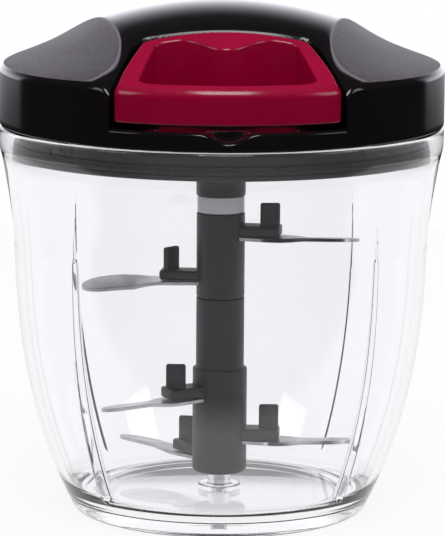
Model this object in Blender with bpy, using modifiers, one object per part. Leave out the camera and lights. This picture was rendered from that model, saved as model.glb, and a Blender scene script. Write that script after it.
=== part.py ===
"""Pull-cord food chopper: clear bowl, black lid with a cord drive, red pull handle and a bladed rotor.

Lengths are in metres and +Z is up. The bowl stands on z = 0 with its axis on the Z axis, and the pull
handle faces -Y. Compass directions below are degrees from -Y, counted towards +X.
"""
import math

import bmesh
import bpy

# Overall sizes of the bowl and the lid
LID_RADIUS = 0.0650
RIM_TOP_Z = 0.1145
DOME_RISE = 0.0360
DOME_FALL = 0.0183696
DOME_APEX_Z = RIM_TOP_Z + DOME_RISE

# Radius of the cord drum's flanges, which the lid's handle pocket stays behind
FLANGE_RADIUS = 0.0250

# Clearances
SEAT_GAP = 0.0003
RUNNING_GAP = 0.00018
PIN_GAP = 0.0001
CUT_OVERRUN = 0.0040
MERGE_DISTANCE = 0.00001
MILLIMETRE = 0.001

# Bowl
BOWL_WALL = 0.0024
RIM_WALL = 0.0036
RIM_BAND_HEIGHT = 0.0150
SHOULDER_DEPTH = 0.0042
BODY_TAPER = 0.0176
BODY_TOP_RADIUS = LID_RADIUS - SHOULDER_DEPTH
BODY_FOOT_RADIUS = BODY_TOP_RADIUS - BODY_TAPER
BODY_TAPER_POWER = 2.8
BODY_RINGS = 6
FOOT_ROUND = 0.0020
FOOT_RING_WIDTH = 0.0045
FOOT_RING_DEPTH = 0.0020
FLOOR_THICKNESS = 0.0030
FLOOR_CORNER = 0.0060
RIM_ROUND = 0.0008
SHOULDER_ROUND = 0.0030

# Ribs inside the bowl
RIB_COUNT = 4
RIB_FIRST_ANGLE = -44.0
RIB_RADIUS = 0.0020
RIB_SINK = 0.0002
RIB_TOP_DROP = 0.0045
RIB_FOOT_RISE = 0.0050
RIB_POINTS = 9
RIB_END_SHARES = (0.35, 0.80)

# Boss and pin that carry the rotor
BOSS_STEP_RADIUS = 0.0063
BOSS_STEP_HEIGHT = 0.0016
BOSS_RADIUS = 0.0034
BOSS_HEIGHT = 0.0046
PIN_RADIUS = 0.0016
PIN_LENGTH = 0.0220
PIN_SINK = 0.0058
PIN_TIP = 0.0008

# Rotor
HUB_RADIUS = 0.00805
HUB_ROUND = 0.0014
ROTOR_LIFT = 0.0008
SHAFT_RADIUS = 0.0071
SHAFT_DROP = 0.0258
SHAFT_TOP_Z = RIM_TOP_Z - SHAFT_DROP
SHAFT_JOINT_SHARE = 0.6667
HUB_SHARE = 0.3972
SHAFT_EDGE = 0.0003
SPIGOT_RADIUS = 0.0042
SPIGOT_LENGTH = 0.0080
DRIVE_SPIGOT_RADIUS = 0.0036
DRIVE_SPIGOT_LENGTH = 0.0080
SOCKET_SIDES = 6
SOCKET_TURN = 3.75
SOCKET_SPARE = 0.0006
COUPLER_DISC_RISE = 0.0044
COUPLER_DISC_TOP_Z = SHAFT_TOP_Z + COUPLER_DISC_RISE

# Blades: compass direction, height as a share of the rotor, twist, and turn of the paddle on the arm
BLADE_STATIONS = (
    {"angle": 80.0, "height_share": 0.897, "twist": -7.0, "paddle_turn": 10.0},
    {"angle": -98.0, "height_share": 0.715, "twist": 12.0, "paddle_turn": 55.0},
    {"angle": -64.0, "height_share": 0.278, "twist": -8.0, "paddle_turn": -30.0},
    {"angle": 84.0, "height_share": 0.110, "twist": -7.0, "paddle_turn": 5.0},
    {"angle": -142.0, "height_share": 0.028, "twist": 8.0, "paddle_turn": 40.0},
)
BLADE_COUNT_LOWER = 3
BLADE_THICKNESS = 0.0010
BLADE_ROOT_RADIUS = 0.0054
BLADE_WALL_GAP = 0.0027
BLADE_TIP_RADIUS = BODY_FOOT_RADIUS - BLADE_WALL_GAP
BLADE_ROOT_WIDTH = 0.0070
BLADE_WIDTH = 0.0100
BLADE_SWEEP = 0.0050
BLADE_GRIND = 0.0026
BLADE_STEPS = 14
BLADE_NECK_SHARE = 0.34
BLADE_TIP_SHARE = 0.22
BLADE_TIP_CLOSE_SHARE = 0.99
BLADE_GRIND_START = 0.5
BLADE_GRIND_FADE = 2.0
BLADE_TWIST_SHARE = 0.33
ARM_END_RADIUS = 0.0178
ARM_WIDTH = 0.0076
ARM_HEIGHT = 0.0032
ARM_EDGE = 0.0005
PADDLE_WIDTH = 0.0058
PADDLE_HEIGHT = 0.0078
PADDLE_THICKNESS = 0.0018
PADDLE_RADIUS = 0.0146
PADDLE_EDGE = 0.0006

# Lid cover
COVER_WALL = 0.0023
COVER_EDGE_ROUND = 0.0016
COVER_FOOT_CHAMFER = 0.0004
DOME_RINGS = 6

# Finger scoops on both sides of the lid
SCOOP_INSET = 0.0130
SCOOP_CENTRE_X = LID_RADIUS - SCOOP_INSET
SCOOP_CENTRE_Y = -0.0080
SCOOP_HALF_WIDTH = 0.0190
SCOOP_HALF_LENGTH = 0.0440
SCOOP_LEAN = 0.20
SCOOP_POWER = 3.0
SCOOP_DEPTH = 0.0050
SCOOP_FADE_SPARE = 0.0015
SCOOP_FADE_RADIUS = LID_RADIUS + SCOOP_FADE_SPARE
SCOOP_FADE_POWER = 6.0
SCOOP_SEGMENTS = 32
SCOOP_RINGS = 10
BALL_RISE = 0.0120
BALL_TURN = 2.6

# Dish that falls away to the handle pocket
DISH_INSET = 0.0050
DISH_CENTRE_Y = -(LID_RADIUS - DISH_INSET)
DISH_HALF_WIDTH = 0.0370
DISH_HALF_LENGTH = 0.0315
DISH_POWER = 4.0
DISH_DEPTH = 0.0022

# Handle pocket
POCKET_REAR_SPARE = 0.0043
POCKET_REAR_Y = -(FLANGE_RADIUS + COVER_WALL + POCKET_REAR_SPARE)
POCKET_REAR_HALF = 0.0256
POCKET_FRONT_INSET = 0.0088
POCKET_FRONT_Y = -(LID_RADIUS - POCKET_FRONT_INSET)
POCKET_FRONT_HALF = 0.0330
POCKET_FLOOR_RISE = 0.0057
POCKET_FLOOR_Z = RIM_TOP_Z + POCKET_FLOOR_RISE
POCKET_CORNER_SHARE = 0.12
RAIL_HEIGHT = 0.0015
RAIL_WIDTH = 0.0020
RAIL_SPACING = 0.0400
RAIL_LENGTH = 0.0190
RAIL_INSET = 0.0150
RAIL_FRONT_Y = -(LID_RADIUS - RAIL_INSET)
NOTCH_HALF_WIDTH = 0.0076
NOTCH_DEPTH = 0.0027
NOTCH_REACH = 0.0050
NOTCH_STEPS = 20

# Pull handle
HANDLE_SETBACK = 0.0005
HANDLE_FRONT_GAP = 0.0013
HANDLE_SIDE_GAP = 0.0024
HANDLE_REAR_GAP = 0.0018
HANDLE_FRONT_RADIUS = LID_RADIUS - HANDLE_SETBACK
HANDLE_FRONT_HALF = POCKET_FRONT_HALF - HANDLE_FRONT_GAP
HANDLE_REAR_HALF = POCKET_REAR_HALF - HANDLE_SIDE_GAP
HANDLE_REAR_Y = POCKET_REAR_Y - HANDLE_REAR_GAP
HANDLE_REAR_BOW = 0.0012
HANDLE_TOP_DROP = 0.0008
HANDLE_EDGE = 0.0010
HANDLE_EDGE_SHARE = 0.3
HANDLE_FRONT_WALL = 0.0032
HANDLE_SIDE_WALL = 0.0068
HANDLE_REAR_SIDE_WALL = 0.0036
HANDLE_LOBE_WALL = 0.0024
HANDLE_BUMP_REACH = 0.0072
HANDLE_LOBE_Y = HANDLE_REAR_Y - HANDLE_LOBE_WALL
HANDLE_BUMP_Y = HANDLE_LOBE_Y - HANDLE_BUMP_REACH
HANDLE_LOBE_SHARE = 0.68
HANDLE_OUTER_CORNER_SHARE = 0.05
HANDLE_OPENING_CORNER_SHARE = 0.10
HANDLE_SIDE_POINTS = 4
HANDLE_LONG_POINTS = 17
HANDLE_CORNER_POINTS = 3

# Lid base
BASE_FLANGE_RISE = 0.0025
BASE_FLANGE_TOP_Z = RIM_TOP_Z + BASE_FLANGE_RISE
SKIRT_SPARE = 0.0008
SKIRT_RADIUS = LID_RADIUS - RIM_WALL - SKIRT_SPARE
SKIRT_WALL = 0.0031
SKIRT_DROP = 0.0078
SKIRT_BOTTOM_Z = RIM_TOP_Z - SKIRT_DROP
BASE_FLOOR = 0.0023
COLLAR_RADIUS = 0.0072
COLLAR_BOTTOM_Z = COUPLER_DISC_TOP_Z + SEAT_GAP
COLLAR_BORE = 0.0050
BASE_ROUND = 0.0008
SEAL_RISE = 0.0014
SEAL_HEIGHT = 0.0024
SEAL_DEPTH = 0.0016
LUG_WIDTH = 0.0088
LUG_HEIGHT = 0.0029
LUG_PROUD = 0.0004
LUG_TOP_DROP = 0.0008
LUG_FIRST_ANGLE = -48.0

# Screws that hold the lid base to the cover
HOUSING_SCREW_ANGLES = (72.0, 140.0, -140.0, -72.0)
HOUSING_SCREW_INSET = 0.0190
HOUSING_SCREW_CIRCLE = LID_RADIUS - HOUSING_SCREW_INSET
SCREW_RADIUS = 0.0014
SCREW_LENGTH = 0.0110
SCREW_HEAD_RADIUS = 0.0028
SCREW_HEAD_HEIGHT = 0.0015
SCREW_SLOT_WIDTH = 0.0008
SCREW_SLOT_DEPTH = 0.0007
SCREW_BOSS_RADIUS = 0.0038

# Cord drum with the spring cup on top
POST_RADIUS = 0.0035
POST_END_RISE = 0.0045
POST_END_Z = RIM_TOP_Z + POST_END_RISE
DRUM_RADIUS = 0.0150
FLANGE_THICKNESS = 0.0016
CHANNEL_RISE = 0.0029
CHANNEL_HEIGHT = 0.0124
CHANNEL_BOTTOM_Z = RIM_TOP_Z + CHANNEL_RISE
CHANNEL_TOP_Z = CHANNEL_BOTTOM_Z + CHANNEL_HEIGHT
SPRING_CUP_DEPTH = 0.0096
SPRING_CUP_WALL = 0.0018
SPOOL_HUB_RADIUS = 0.0080
SPOOL_HUB_DROP = 0.0015
SPOOL_HUB_END_Z = RIM_TOP_Z - SPOOL_HUB_DROP
SPOOL_RECESS_RADIUS = 0.0060
SPRING_COVER_THICKNESS = 0.0012
WASHER_RADIUS = 0.0052
WASHER_THICKNESS = 0.0012

# Mainspring
SPRING_TURNS = 4.5
SPRING_STEPS = 20
SPRING_THICKNESS = 0.0005
SPRING_HEIGHT = 0.0074

# Cord
CORD_RADIUS = 0.0009
CORD_TURNS = 3
CORD_STEPS = 24
CORD_PITCH = 0.0024
KNOT_RADIUS = 0.0025
KNOT_SETBACK = 0.0054
KNOT_Y = HANDLE_REAR_Y - KNOT_SETBACK
CORD_HOLE_SPARE = 0.0005

# Cord eyelet in the pocket's rear wall
EYELET_BORE = 0.0015
EYELET_RADIUS = 0.0026
EYELET_LIP_RADIUS = 0.0036
EYELET_LIP = 0.0009
EYELET_ROUND = 0.0004

# One-way drive under the drum
COUPLER_RADIUS = 0.0069
RATCHET_TEETH = 8
RATCHET_RADIUS = 0.0094
RATCHET_TOOTH = 0.0018
RATCHET_THICKNESS = 0.0028
PAWL_PIN_CIRCLE = 0.0135
PAWL_PIN_RADIUS = 0.0012
PAWL_EYE_RADIUS = 0.0026
PAWL_THICKNESS = 0.0024
PAWL_TIP_WIDTH = 0.0008
PAWL_REACH_ANGLE = 38.0
CLUTCH_SCREW_SINK = 0.0100

# Mesh density
TURN_STEPS = 44
DRUM_STEPS = 30
SHAFT_STEPS = 24
SMALL_STEPS = 12
ROUND_STEPS = 2
SHARP_ANGLE = 32.0
ROD_TURN = 4.0

PARTS = bpy.data.collections.new("manual_food_chopper")
CUTTERS = bpy.data.collections.new("cutters")


# Scene and materials

def clear_scene():
    for thing in list(bpy.data.objects):
        bpy.data.objects.remove(thing, do_unlink=True)
    bpy.context.scene.collection.children.link(PARTS)
    bpy.context.scene.collection.children.link(CUTTERS)


def material(name, colour, roughness, metallic=0.0, transmission=0.0):
    made = bpy.data.materials.new(name)
    made.use_nodes = True
    shader = made.node_tree.nodes["Principled BSDF"]
    shader.inputs["Base Color"].default_value = (*colour, 1.0)
    shader.inputs["Roughness"].default_value = roughness
    shader.inputs["Metallic"].default_value = metallic
    shader.inputs["Transmission Weight"].default_value = transmission
    return made


def make_materials():
    return {
        "clear": material("clear_styrene_acrylonitrile", (0.93, 0.92, 0.96), 0.03, transmission=1.0),
        "gloss_black": material("gloss_black_abs", (0.008, 0.006, 0.008), 0.12),
        "satin_black": material("satin_black_polypropylene", (0.015, 0.014, 0.016), 0.42),
        "red": material("burgundy_abs", (0.36, 0.0, 0.045), 0.16),
        "steel": material("stainless_steel", (0.62, 0.62, 0.64), 0.22, metallic=1.0),
        "spring_steel": material("blue_grey_spring_steel", (0.30, 0.32, 0.36), 0.30, metallic=1.0),
        "grey": material("light_grey_acetal", (0.62, 0.61, 0.62), 0.38),
        "rubber": material("black_silicone_rubber", (0.02, 0.02, 0.02), 0.60),
        "cord": material("white_braided_nylon", (0.78, 0.78, 0.76), 0.80),
    }


# Places and outlines

def around(radius, angle):
    """Point in plan at a compass direction in degrees from -Y towards +X."""
    turn = math.radians(angle)
    return radius * math.sin(turn), -radius * math.cos(turn)


def dome_height(x, y):
    return DOME_APEX_Z - DOME_FALL * (x * x + y * y) / LID_RADIUS ** 2


def bend(start, corner, end, steps):
    """Points of a quadratic bend from start to end that heads for the corner."""
    points = []
    for i in range(steps + 1):
        t = i / steps
        points.append(tuple((1 - t) ** 2 * a + 2 * t * (1 - t) * b + t * t * c
                            for a, b, c in zip(start, corner, end)))
    return points


def rounded(corners, closed=False):
    """Profile through (radius, height, round) corners, with each round laid in as a bend."""
    points = []
    count = len(corners)
    for i, (r, z, size) in enumerate(corners):
        inner = closed or 0 < i < count - 1
        if not inner or size == 0:
            points.append((r, z))
            continue
        before = corners[i - 1]
        after = corners[(i + 1) % count]
        cuts = []
        for other in (before, after):
            run = math.hypot(other[0] - r, other[1] - z)
            share = min(size / run, 0.5)
            cuts.append((r + (other[0] - r) * share, z + (other[1] - z) * share))
        points.extend(bend(cuts[0], (r, z), cuts[1], ROUND_STEPS))
    return points


def inset(outline, distance):
    """Closed outline moved inwards, towards its left side when it runs anticlockwise."""
    moved = []
    count = len(outline)
    for i, (x, y) in enumerate(outline):
        before = outline[i - 1]
        after = outline[(i + 1) % count]
        run = math.hypot(after[0] - before[0], after[1] - before[1])
        moved.append((x - distance * (after[1] - before[1]) / run,
                      y + distance * (after[0] - before[0]) / run))
    return moved


# Mesh building

def add_object(name, mesh, look, collection=None):
    thing = bpy.data.objects.new(name, mesh)
    (collection or PARTS).objects.link(thing)
    if look is not None:
        mesh.materials.append(look)
    if collection is CUTTERS:
        thing.hide_render = True
        thing.display_type = "WIRE"
    mesh.shade_smooth()
    if mesh.polygons:
        mesh.set_sharp_from_angle(angle=math.radians(SHARP_ANGLE))
    return thing


def from_bmesh(name, bm, look, collection=None):
    bmesh.ops.recalc_face_normals(bm, faces=bm.faces)
    mesh = bpy.data.meshes.new(name)
    bm.to_mesh(mesh)
    bm.free()
    return add_object(name, mesh, look, collection)


def turned(name, outline, look, closed=False, steps=TURN_STEPS, collection=None):
    """Solid of revolution round Z; the outline runs down its outer side."""
    edges = [(i, i + 1) for i in range(len(outline) - 1)]
    if closed:
        edges.append((len(outline) - 1, 0))
    mesh = bpy.data.meshes.new(name)
    mesh.from_pydata([(r, 0.0, z) for r, z in outline], edges, [])
    thing = add_object(name, mesh, look, collection)
    screw = thing.modifiers.new("turn", "SCREW")
    screw.axis = "Z"
    screw.angle = math.tau
    screw.steps = steps
    screw.render_steps = steps
    screw.use_merge_vertices = True
    screw.merge_threshold = MERGE_DISTANCE
    screw.use_smooth_shade = True
    return thing


def loft(name, loops, look, ring=False, collection=None):
    """Skin over loops of equal point count, capped at both ends or closed on itself."""
    bm = bmesh.new()
    rows = [[bm.verts.new(point) for point in loop] for loop in loops]
    pairs = list(zip(rows, rows[1:]))
    if ring:
        pairs.append((rows[-1], rows[0]))
    else:
        bm.faces.new(rows[0])
        bm.faces.new(rows[-1])
    for low, high in pairs:
        for i in range(len(low)):
            j = (i + 1) % len(low)
            bm.faces.new((low[i], low[j], high[j], high[i]))
    return from_bmesh(name, bm, look, collection)


def prism(name, outline, bottom, top, look=None, collection=None):
    loops = [[(x, y, z) for x, y in outline] for z in (bottom, top)]
    return loft(name, loops, look, collection=collection)


def rod(name, radius, bottom, top, steps=SMALL_STEPS, turn=ROD_TURN, place=(0.0, 0.0)):
    """Upright round or polygonal rod that is cut from a piece or joined to it."""
    outline = [around(radius, turn + 360.0 * i / steps) for i in range(steps)]
    thing = prism(name, outline, bottom, top, collection=CUTTERS)
    thing.location = (*place, 0.0)
    return thing


def hexagon(name, radius, bottom, top):
    return rod(name, radius, bottom, top, steps=SOCKET_SIDES, turn=SOCKET_TURN)


def box(name, size, centre, turn=0.0, edge=0.0):
    """Block that is cut from a piece or joined to it."""
    bm = bmesh.new()
    bmesh.ops.create_cube(bm, size=1.0)
    bmesh.ops.scale(bm, vec=size, verts=bm.verts)
    thing = from_bmesh(name, bm, None, CUTTERS)
    thing.location = centre
    thing.rotation_euler = (0.0, 0.0, turn)
    if edge:
        bevel = thing.modifiers.new("edge", "BEVEL")
        bevel.width = edge
        bevel.segments = 2
    return thing


def combine(thing, other, operation="DIFFERENCE"):
    change = thing.modifiers.new(operation.lower(), "BOOLEAN")
    change.operation = operation
    change.solver = "EXACT"
    change.object = other
    return thing


def tube_mesh(name, points, radius, shares=None, resolution=1, look=None, collection=None):
    """Round tube on a poly curve, made a mesh with its caps welded."""
    curve = bpy.data.curves.new(name, "CURVE")
    curve.dimensions = "3D"
    curve.bevel_depth = radius
    curve.bevel_resolution = resolution
    curve.use_fill_caps = True
    spline = curve.splines.new("POLY")
    spline.points.add(len(points) - 1)
    for i, point in enumerate(points):
        spline.points[i].co = (*point, 1.0)
        spline.points[i].radius = shares[i] if shares else 1.0
    guide = bpy.data.objects.new(name + "_path", curve)
    bpy.context.scene.collection.objects.link(guide)
    bpy.context.view_layer.update()
    seen = guide.evaluated_get(bpy.context.evaluated_depsgraph_get())
    mesh = bpy.data.meshes.new_from_object(seen)
    bpy.data.objects.remove(guide, do_unlink=True)
    bm = bmesh.new()
    bm.from_mesh(mesh)
    bmesh.ops.remove_doubles(bm, verts=bm.verts, dist=MERGE_DISTANCE)
    return from_bmesh(name, bm, look, collection)


# Bowl

def body_radius(height):
    """Outer radius of the bulging bowl wall at a height."""
    share = min(height / body_top(), 1.0)
    return BODY_TOP_RADIUS - (BODY_TOP_RADIUS - BODY_FOOT_RADIUS) * (1.0 - share) ** BODY_TAPER_POWER


def body_top():
    """Height where the bowl wall meets the wider rim band."""
    return RIM_TOP_Z - RIM_BAND_HEIGHT - (LID_RADIUS - BODY_TOP_RADIUS)


def floor_top():
    return FOOT_RING_DEPTH + FLOOR_THICKNESS


def bowl_outline():
    rim_inner = LID_RADIUS - RIM_WALL
    band_bottom = RIM_TOP_Z - RIM_BAND_HEIGHT
    inner_step = band_bottom + BOWL_WALL
    inside = [(0.0, floor_top() + BOSS_HEIGHT, 0.0),
              (BOSS_RADIUS, floor_top() + BOSS_HEIGHT, SHAFT_EDGE),
              (BOSS_RADIUS, floor_top() + BOSS_STEP_HEIGHT, 0.0),
              (BOSS_STEP_RADIUS, floor_top() + BOSS_STEP_HEIGHT, SHAFT_EDGE),
              (BOSS_STEP_RADIUS, floor_top(), 0.0)]
    wall_start = floor_top() + FLOOR_CORNER
    corner = body_radius(floor_top()) - BOWL_WALL
    points = rounded(inside + [(corner, floor_top(), 0.0)])[:-1]
    points += bend((corner - FLOOR_CORNER, floor_top()), (corner, floor_top()),
                   (body_radius(wall_start) - BOWL_WALL, wall_start), ROUND_STEPS * 2)
    for i in range(1, BODY_RINGS + 1):
        height = wall_start + (body_top() - wall_start) * i / BODY_RINGS
        points.append((body_radius(height) - BOWL_WALL, height))
    points += rounded([(BODY_TOP_RADIUS - BOWL_WALL, body_top(), 0.0),
                       (rim_inner, inner_step, RIM_ROUND),
                       (rim_inner, RIM_TOP_Z, RIM_ROUND),
                       (LID_RADIUS, RIM_TOP_Z, RIM_ROUND),
                       (LID_RADIUS, band_bottom, SHOULDER_ROUND),
                       (BODY_TOP_RADIUS, body_top(), 0.0)])[1:]
    for i in range(1, BODY_RINGS + 1):
        height = body_top() + (FOOT_ROUND - body_top()) * i / BODY_RINGS
        points.append((body_radius(height), height))
    foot_outer = body_radius(0.0) - FOOT_ROUND
    points += bend(points[-1], (body_radius(0.0), 0.0), (foot_outer, 0.0), ROUND_STEPS)[1:]
    foot_inner = foot_outer - FOOT_RING_WIDTH
    points += [(foot_inner, 0.0),
               (foot_inner - FOOT_RING_DEPTH, FOOT_RING_DEPTH),
               (0.0, FOOT_RING_DEPTH)]
    return points


def make_bowl(looks):
    bowl = turned("bowl", bowl_outline(), looks["clear"], steps=TURN_STEPS)
    start = floor_top() + RIB_FOOT_RISE
    end = body_top() - RIB_TOP_DROP
    shares = list(RIB_END_SHARES) + [1.0] * (RIB_POINTS - 4) + list(reversed(RIB_END_SHARES))
    for k in range(RIB_COUNT):
        angle = RIB_FIRST_ANGLE + 360.0 * k / RIB_COUNT
        path = []
        for i in range(RIB_POINTS):
            inner = max(i - 1, 0) if i < RIB_POINTS - 1 else RIB_POINTS - 3
            height = start + (end - start) * inner / (RIB_POINTS - 3)
            if i == 0:
                height -= RIB_RADIUS
            if i == RIB_POINTS - 1:
                height += RIB_RADIUS
            x, y = around(body_radius(height) - BOWL_WALL - RIB_SINK, angle)
            path.append((x, y, height))
        rib = tube_mesh("rib_%d" % (k + 1), path, RIB_RADIUS, shares, collection=CUTTERS)
        combine(bowl, rib, "UNION")
    pin_hole = rod("pin_hole", PIN_RADIUS + PIN_GAP, pin_bottom() - SEAT_GAP,
                   floor_top() + BOSS_HEIGHT + CUT_OVERRUN)
    return combine(bowl, pin_hole)


def pin_bottom():
    return floor_top() + BOSS_HEIGHT - PIN_SINK


def make_pivot_pin(looks):
    top = pin_bottom() + PIN_LENGTH
    outline = rounded([(0.0, top, 0.0), (PIN_RADIUS, top, PIN_TIP),
                       (PIN_RADIUS, pin_bottom(), 0.0), (0.0, pin_bottom(), 0.0)])
    return turned("pivot_pin", outline, looks["steel"], steps=SMALL_STEPS)


# Rotor

def rotor_bottom():
    return floor_top() + BOSS_HEIGHT + ROTOR_LIFT


def rotor_level(share):
    return rotor_bottom() + (SHAFT_TOP_Z - rotor_bottom()) * share


def blade_level(station):
    return rotor_level(station["height_share"])


def blade_section(share, slope):
    """Four corners across a blade that points along +X: the ground cutting edge lies on its -Y side."""
    x = BLADE_ROOT_RADIUS + (BLADE_TIP_RADIUS - BLADE_ROOT_RADIUS) * share
    grow = min(share / BLADE_NECK_SHARE, 1.0)
    width = BLADE_ROOT_WIDTH + (BLADE_WIDTH - BLADE_ROOT_WIDTH) * grow * grow * (3 - 2 * grow)
    close = max(0.0, (share - 1.0 + BLADE_TIP_SHARE) / BLADE_TIP_SHARE) * BLADE_TIP_CLOSE_SHARE
    half = width / 2.0 * math.sqrt(1.0 - close * close)
    past = max(share - BLADE_NECK_SHARE, 0.0) / (1.0 - BLADE_NECK_SHARE)
    middle = BLADE_SWEEP * past * past
    grind = BLADE_GRIND * min(max(share / BLADE_NECK_SHARE - BLADE_GRIND_START, 0.0), 1.0)
    grind *= min(1.0, (1.0 - share) * BLADE_GRIND_FADE)
    turn = slope * min(past / BLADE_TWIST_SHARE, 1.0)
    corners = ((middle - half, 0.0), (middle + half, 0.0), (middle + half, BLADE_THICKNESS),
               (middle - half + grind, BLADE_THICKNESS))
    return [(x, y, side + turn * y) for y, side in corners]


def make_blade(number, station, look):
    slope = math.tan(math.radians(station["twist"]))
    sections = [blade_section(i / BLADE_STEPS, slope) for i in range(BLADE_STEPS + 1)]
    blade = loft("blade_%d" % number, sections, look)
    blade.location = (0.0, 0.0, blade_level(station))
    blade.rotation_euler = (0.0, 0.0, math.radians(station["angle"] - 90.0))
    return blade


def add_arm(shaft, number, station):
    """Moulded arm over the blade's root, its upright paddle, and the slot that grips the root."""
    turn = math.radians(station["angle"] - 90.0)
    arm_bottom = blade_level(station) + BLADE_THICKNESS + SEAT_GAP
    x, y = around(ARM_END_RADIUS / 2.0, station["angle"])
    arm = box("arm_%d" % number, (ARM_END_RADIUS, ARM_WIDTH, ARM_HEIGHT),
              (x, y, arm_bottom + ARM_HEIGHT / 2.0), turn=turn, edge=ARM_EDGE)
    x, y = around(PADDLE_RADIUS, station["angle"])
    paddle_turn = turn + math.radians(station["paddle_turn"])
    paddle_middle = arm_bottom + (ARM_HEIGHT + PADDLE_HEIGHT) / 2.0
    paddle = box("paddle_%d" % number, (PADDLE_WIDTH, PADDLE_THICKNESS, PADDLE_HEIGHT + ARM_HEIGHT / 2.0),
                 (x, y, paddle_middle), turn=paddle_turn, edge=PADDLE_EDGE)
    combine(shaft, arm, "UNION")
    combine(shaft, paddle, "UNION")
    reach = SHAFT_RADIUS + HUB_RADIUS
    inner = BLADE_ROOT_RADIUS - SEAT_GAP
    x, y = around(inner + reach / 2.0, station["angle"])
    slot = box("root_slot_%d" % number,
               (reach, BLADE_ROOT_WIDTH + 2.0 * SEAT_GAP, BLADE_THICKNESS + 2.0 * SEAT_GAP),
               (x, y, blade_level(station) + BLADE_THICKNESS / 2.0), turn=turn)
    return combine(shaft, slot)


def make_rotor(looks):
    bottom = rotor_bottom()
    hub_top = rotor_level(HUB_SHARE)
    joint = rotor_level(SHAFT_JOINT_SHARE)
    spigot_top = joint + SPIGOT_LENGTH
    outline = rounded([(0.0, joint, 0.0), (SHAFT_RADIUS, joint, SHAFT_EDGE),
                       (SHAFT_RADIUS, hub_top, 0.0), (HUB_RADIUS, hub_top, SHAFT_EDGE),
                       (HUB_RADIUS, bottom, HUB_ROUND), (0.0, bottom, 0.0)])
    lower = turned("shaft_lower", outline, looks["satin_black"], steps=SHAFT_STEPS)
    spigot = hexagon("spigot", SPIGOT_RADIUS, joint - CUT_OVERRUN, spigot_top)
    combine(lower, spigot, "UNION")

    outline = rounded([(0.0, SHAFT_TOP_Z, 0.0), (SHAFT_RADIUS, SHAFT_TOP_Z, SHAFT_EDGE),
                       (SHAFT_RADIUS, joint + SEAT_GAP, SHAFT_EDGE),
                       (0.0, joint + SEAT_GAP, 0.0)])
    upper = turned("shaft_upper", outline, looks["satin_black"], steps=SHAFT_STEPS)
    for number, station in enumerate(BLADE_STATIONS, start=1):
        carrier = lower if number > len(BLADE_STATIONS) - BLADE_COUNT_LOWER else upper
        add_arm(carrier, number, station)
        make_blade(number, station, looks["steel"])

    pin_top = pin_bottom() + PIN_LENGTH
    bore = rod("rotor_bore", PIN_RADIUS + RUNNING_GAP, bottom - CUT_OVERRUN, pin_top + SEAT_GAP)
    combine(lower, bore)
    socket = hexagon("spigot_socket", SPIGOT_RADIUS + SEAT_GAP, joint - CUT_OVERRUN,
                     spigot_top + SEAT_GAP)
    drive = hexagon("drive_socket", DRIVE_SPIGOT_RADIUS + SEAT_GAP,
                    SHAFT_TOP_Z - DRIVE_SPIGOT_LENGTH - SOCKET_SPARE, SHAFT_TOP_Z + CUT_OVERRUN)
    combine(upper, socket)
    combine(upper, drive)


# Lid cover

def shaped_ball(name, centre, half_width, half_length, lean, power, depth, offset, turn, fade=None):
    """Cutter with a bowed underside: it dips below the dome inside a rounded plan outline."""
    bm = bmesh.new()
    bmesh.ops.create_uvsphere(bm, u_segments=SCOOP_SEGMENTS, v_segments=SCOOP_RINGS, radius=1.0)
    for vert in bm.verts:
        across = vert.co.x * math.cos(turn) - vert.co.y * math.sin(turn)
        along = vert.co.x * math.sin(turn) + vert.co.y * math.cos(turn)
        level = vert.co.z
        reach = math.hypot(across, along)
        if reach > 0.0:
            fit = ((abs(across) / reach) ** power + (abs(along) / reach) ** power) ** (-1.0 / power)
            across *= fit
            along *= fit
        y = centre[1] + half_length * along
        x = centre[0] + half_width * across + lean * half_length * along
        height = dome_height(x, y) - offset
        if level > 0.0:
            height += BALL_RISE * level
        else:
            strength = 1.0
            if fade:
                strength = 1.0 - (math.hypot(x, y) / fade) ** SCOOP_FADE_POWER
            height -= depth * level * level * strength
        vert.co = (x, y, height)
    return from_bmesh(name, bm, None, CUTTERS)


def scoop_cutter(name, side, grow):
    return shaped_ball(name, (side * SCOOP_CENTRE_X, SCOOP_CENTRE_Y), SCOOP_HALF_WIDTH + grow,
                       SCOOP_HALF_LENGTH + grow, side * SCOOP_LEAN, SCOOP_POWER, SCOOP_DEPTH, grow,
                       side * math.radians(BALL_TURN), SCOOP_FADE_RADIUS + grow)


def dish_cutter(name, grow):
    return shaped_ball(name, (0.0, DISH_CENTRE_Y), DISH_HALF_WIDTH + grow, DISH_HALF_LENGTH + grow,
                       0.0, DISH_POWER, DISH_DEPTH, grow, math.radians(BALL_TURN))


def lid_outline(wall):
    """Half section of the domed lid, drawn in by a wall thickness."""
    radius = LID_RADIUS - wall
    edge = radius - COVER_EDGE_ROUND
    points = []
    for i in range(DOME_RINGS + 1):
        r = edge * i / DOME_RINGS
        points.append((r, dome_height(r, 0.0) - wall))
    corner_z = dome_height(radius, 0.0) - wall
    points += bend(points[-1], (radius, corner_z), (radius, corner_z - COVER_EDGE_ROUND), ROUND_STEPS)[1:]
    return points


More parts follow.
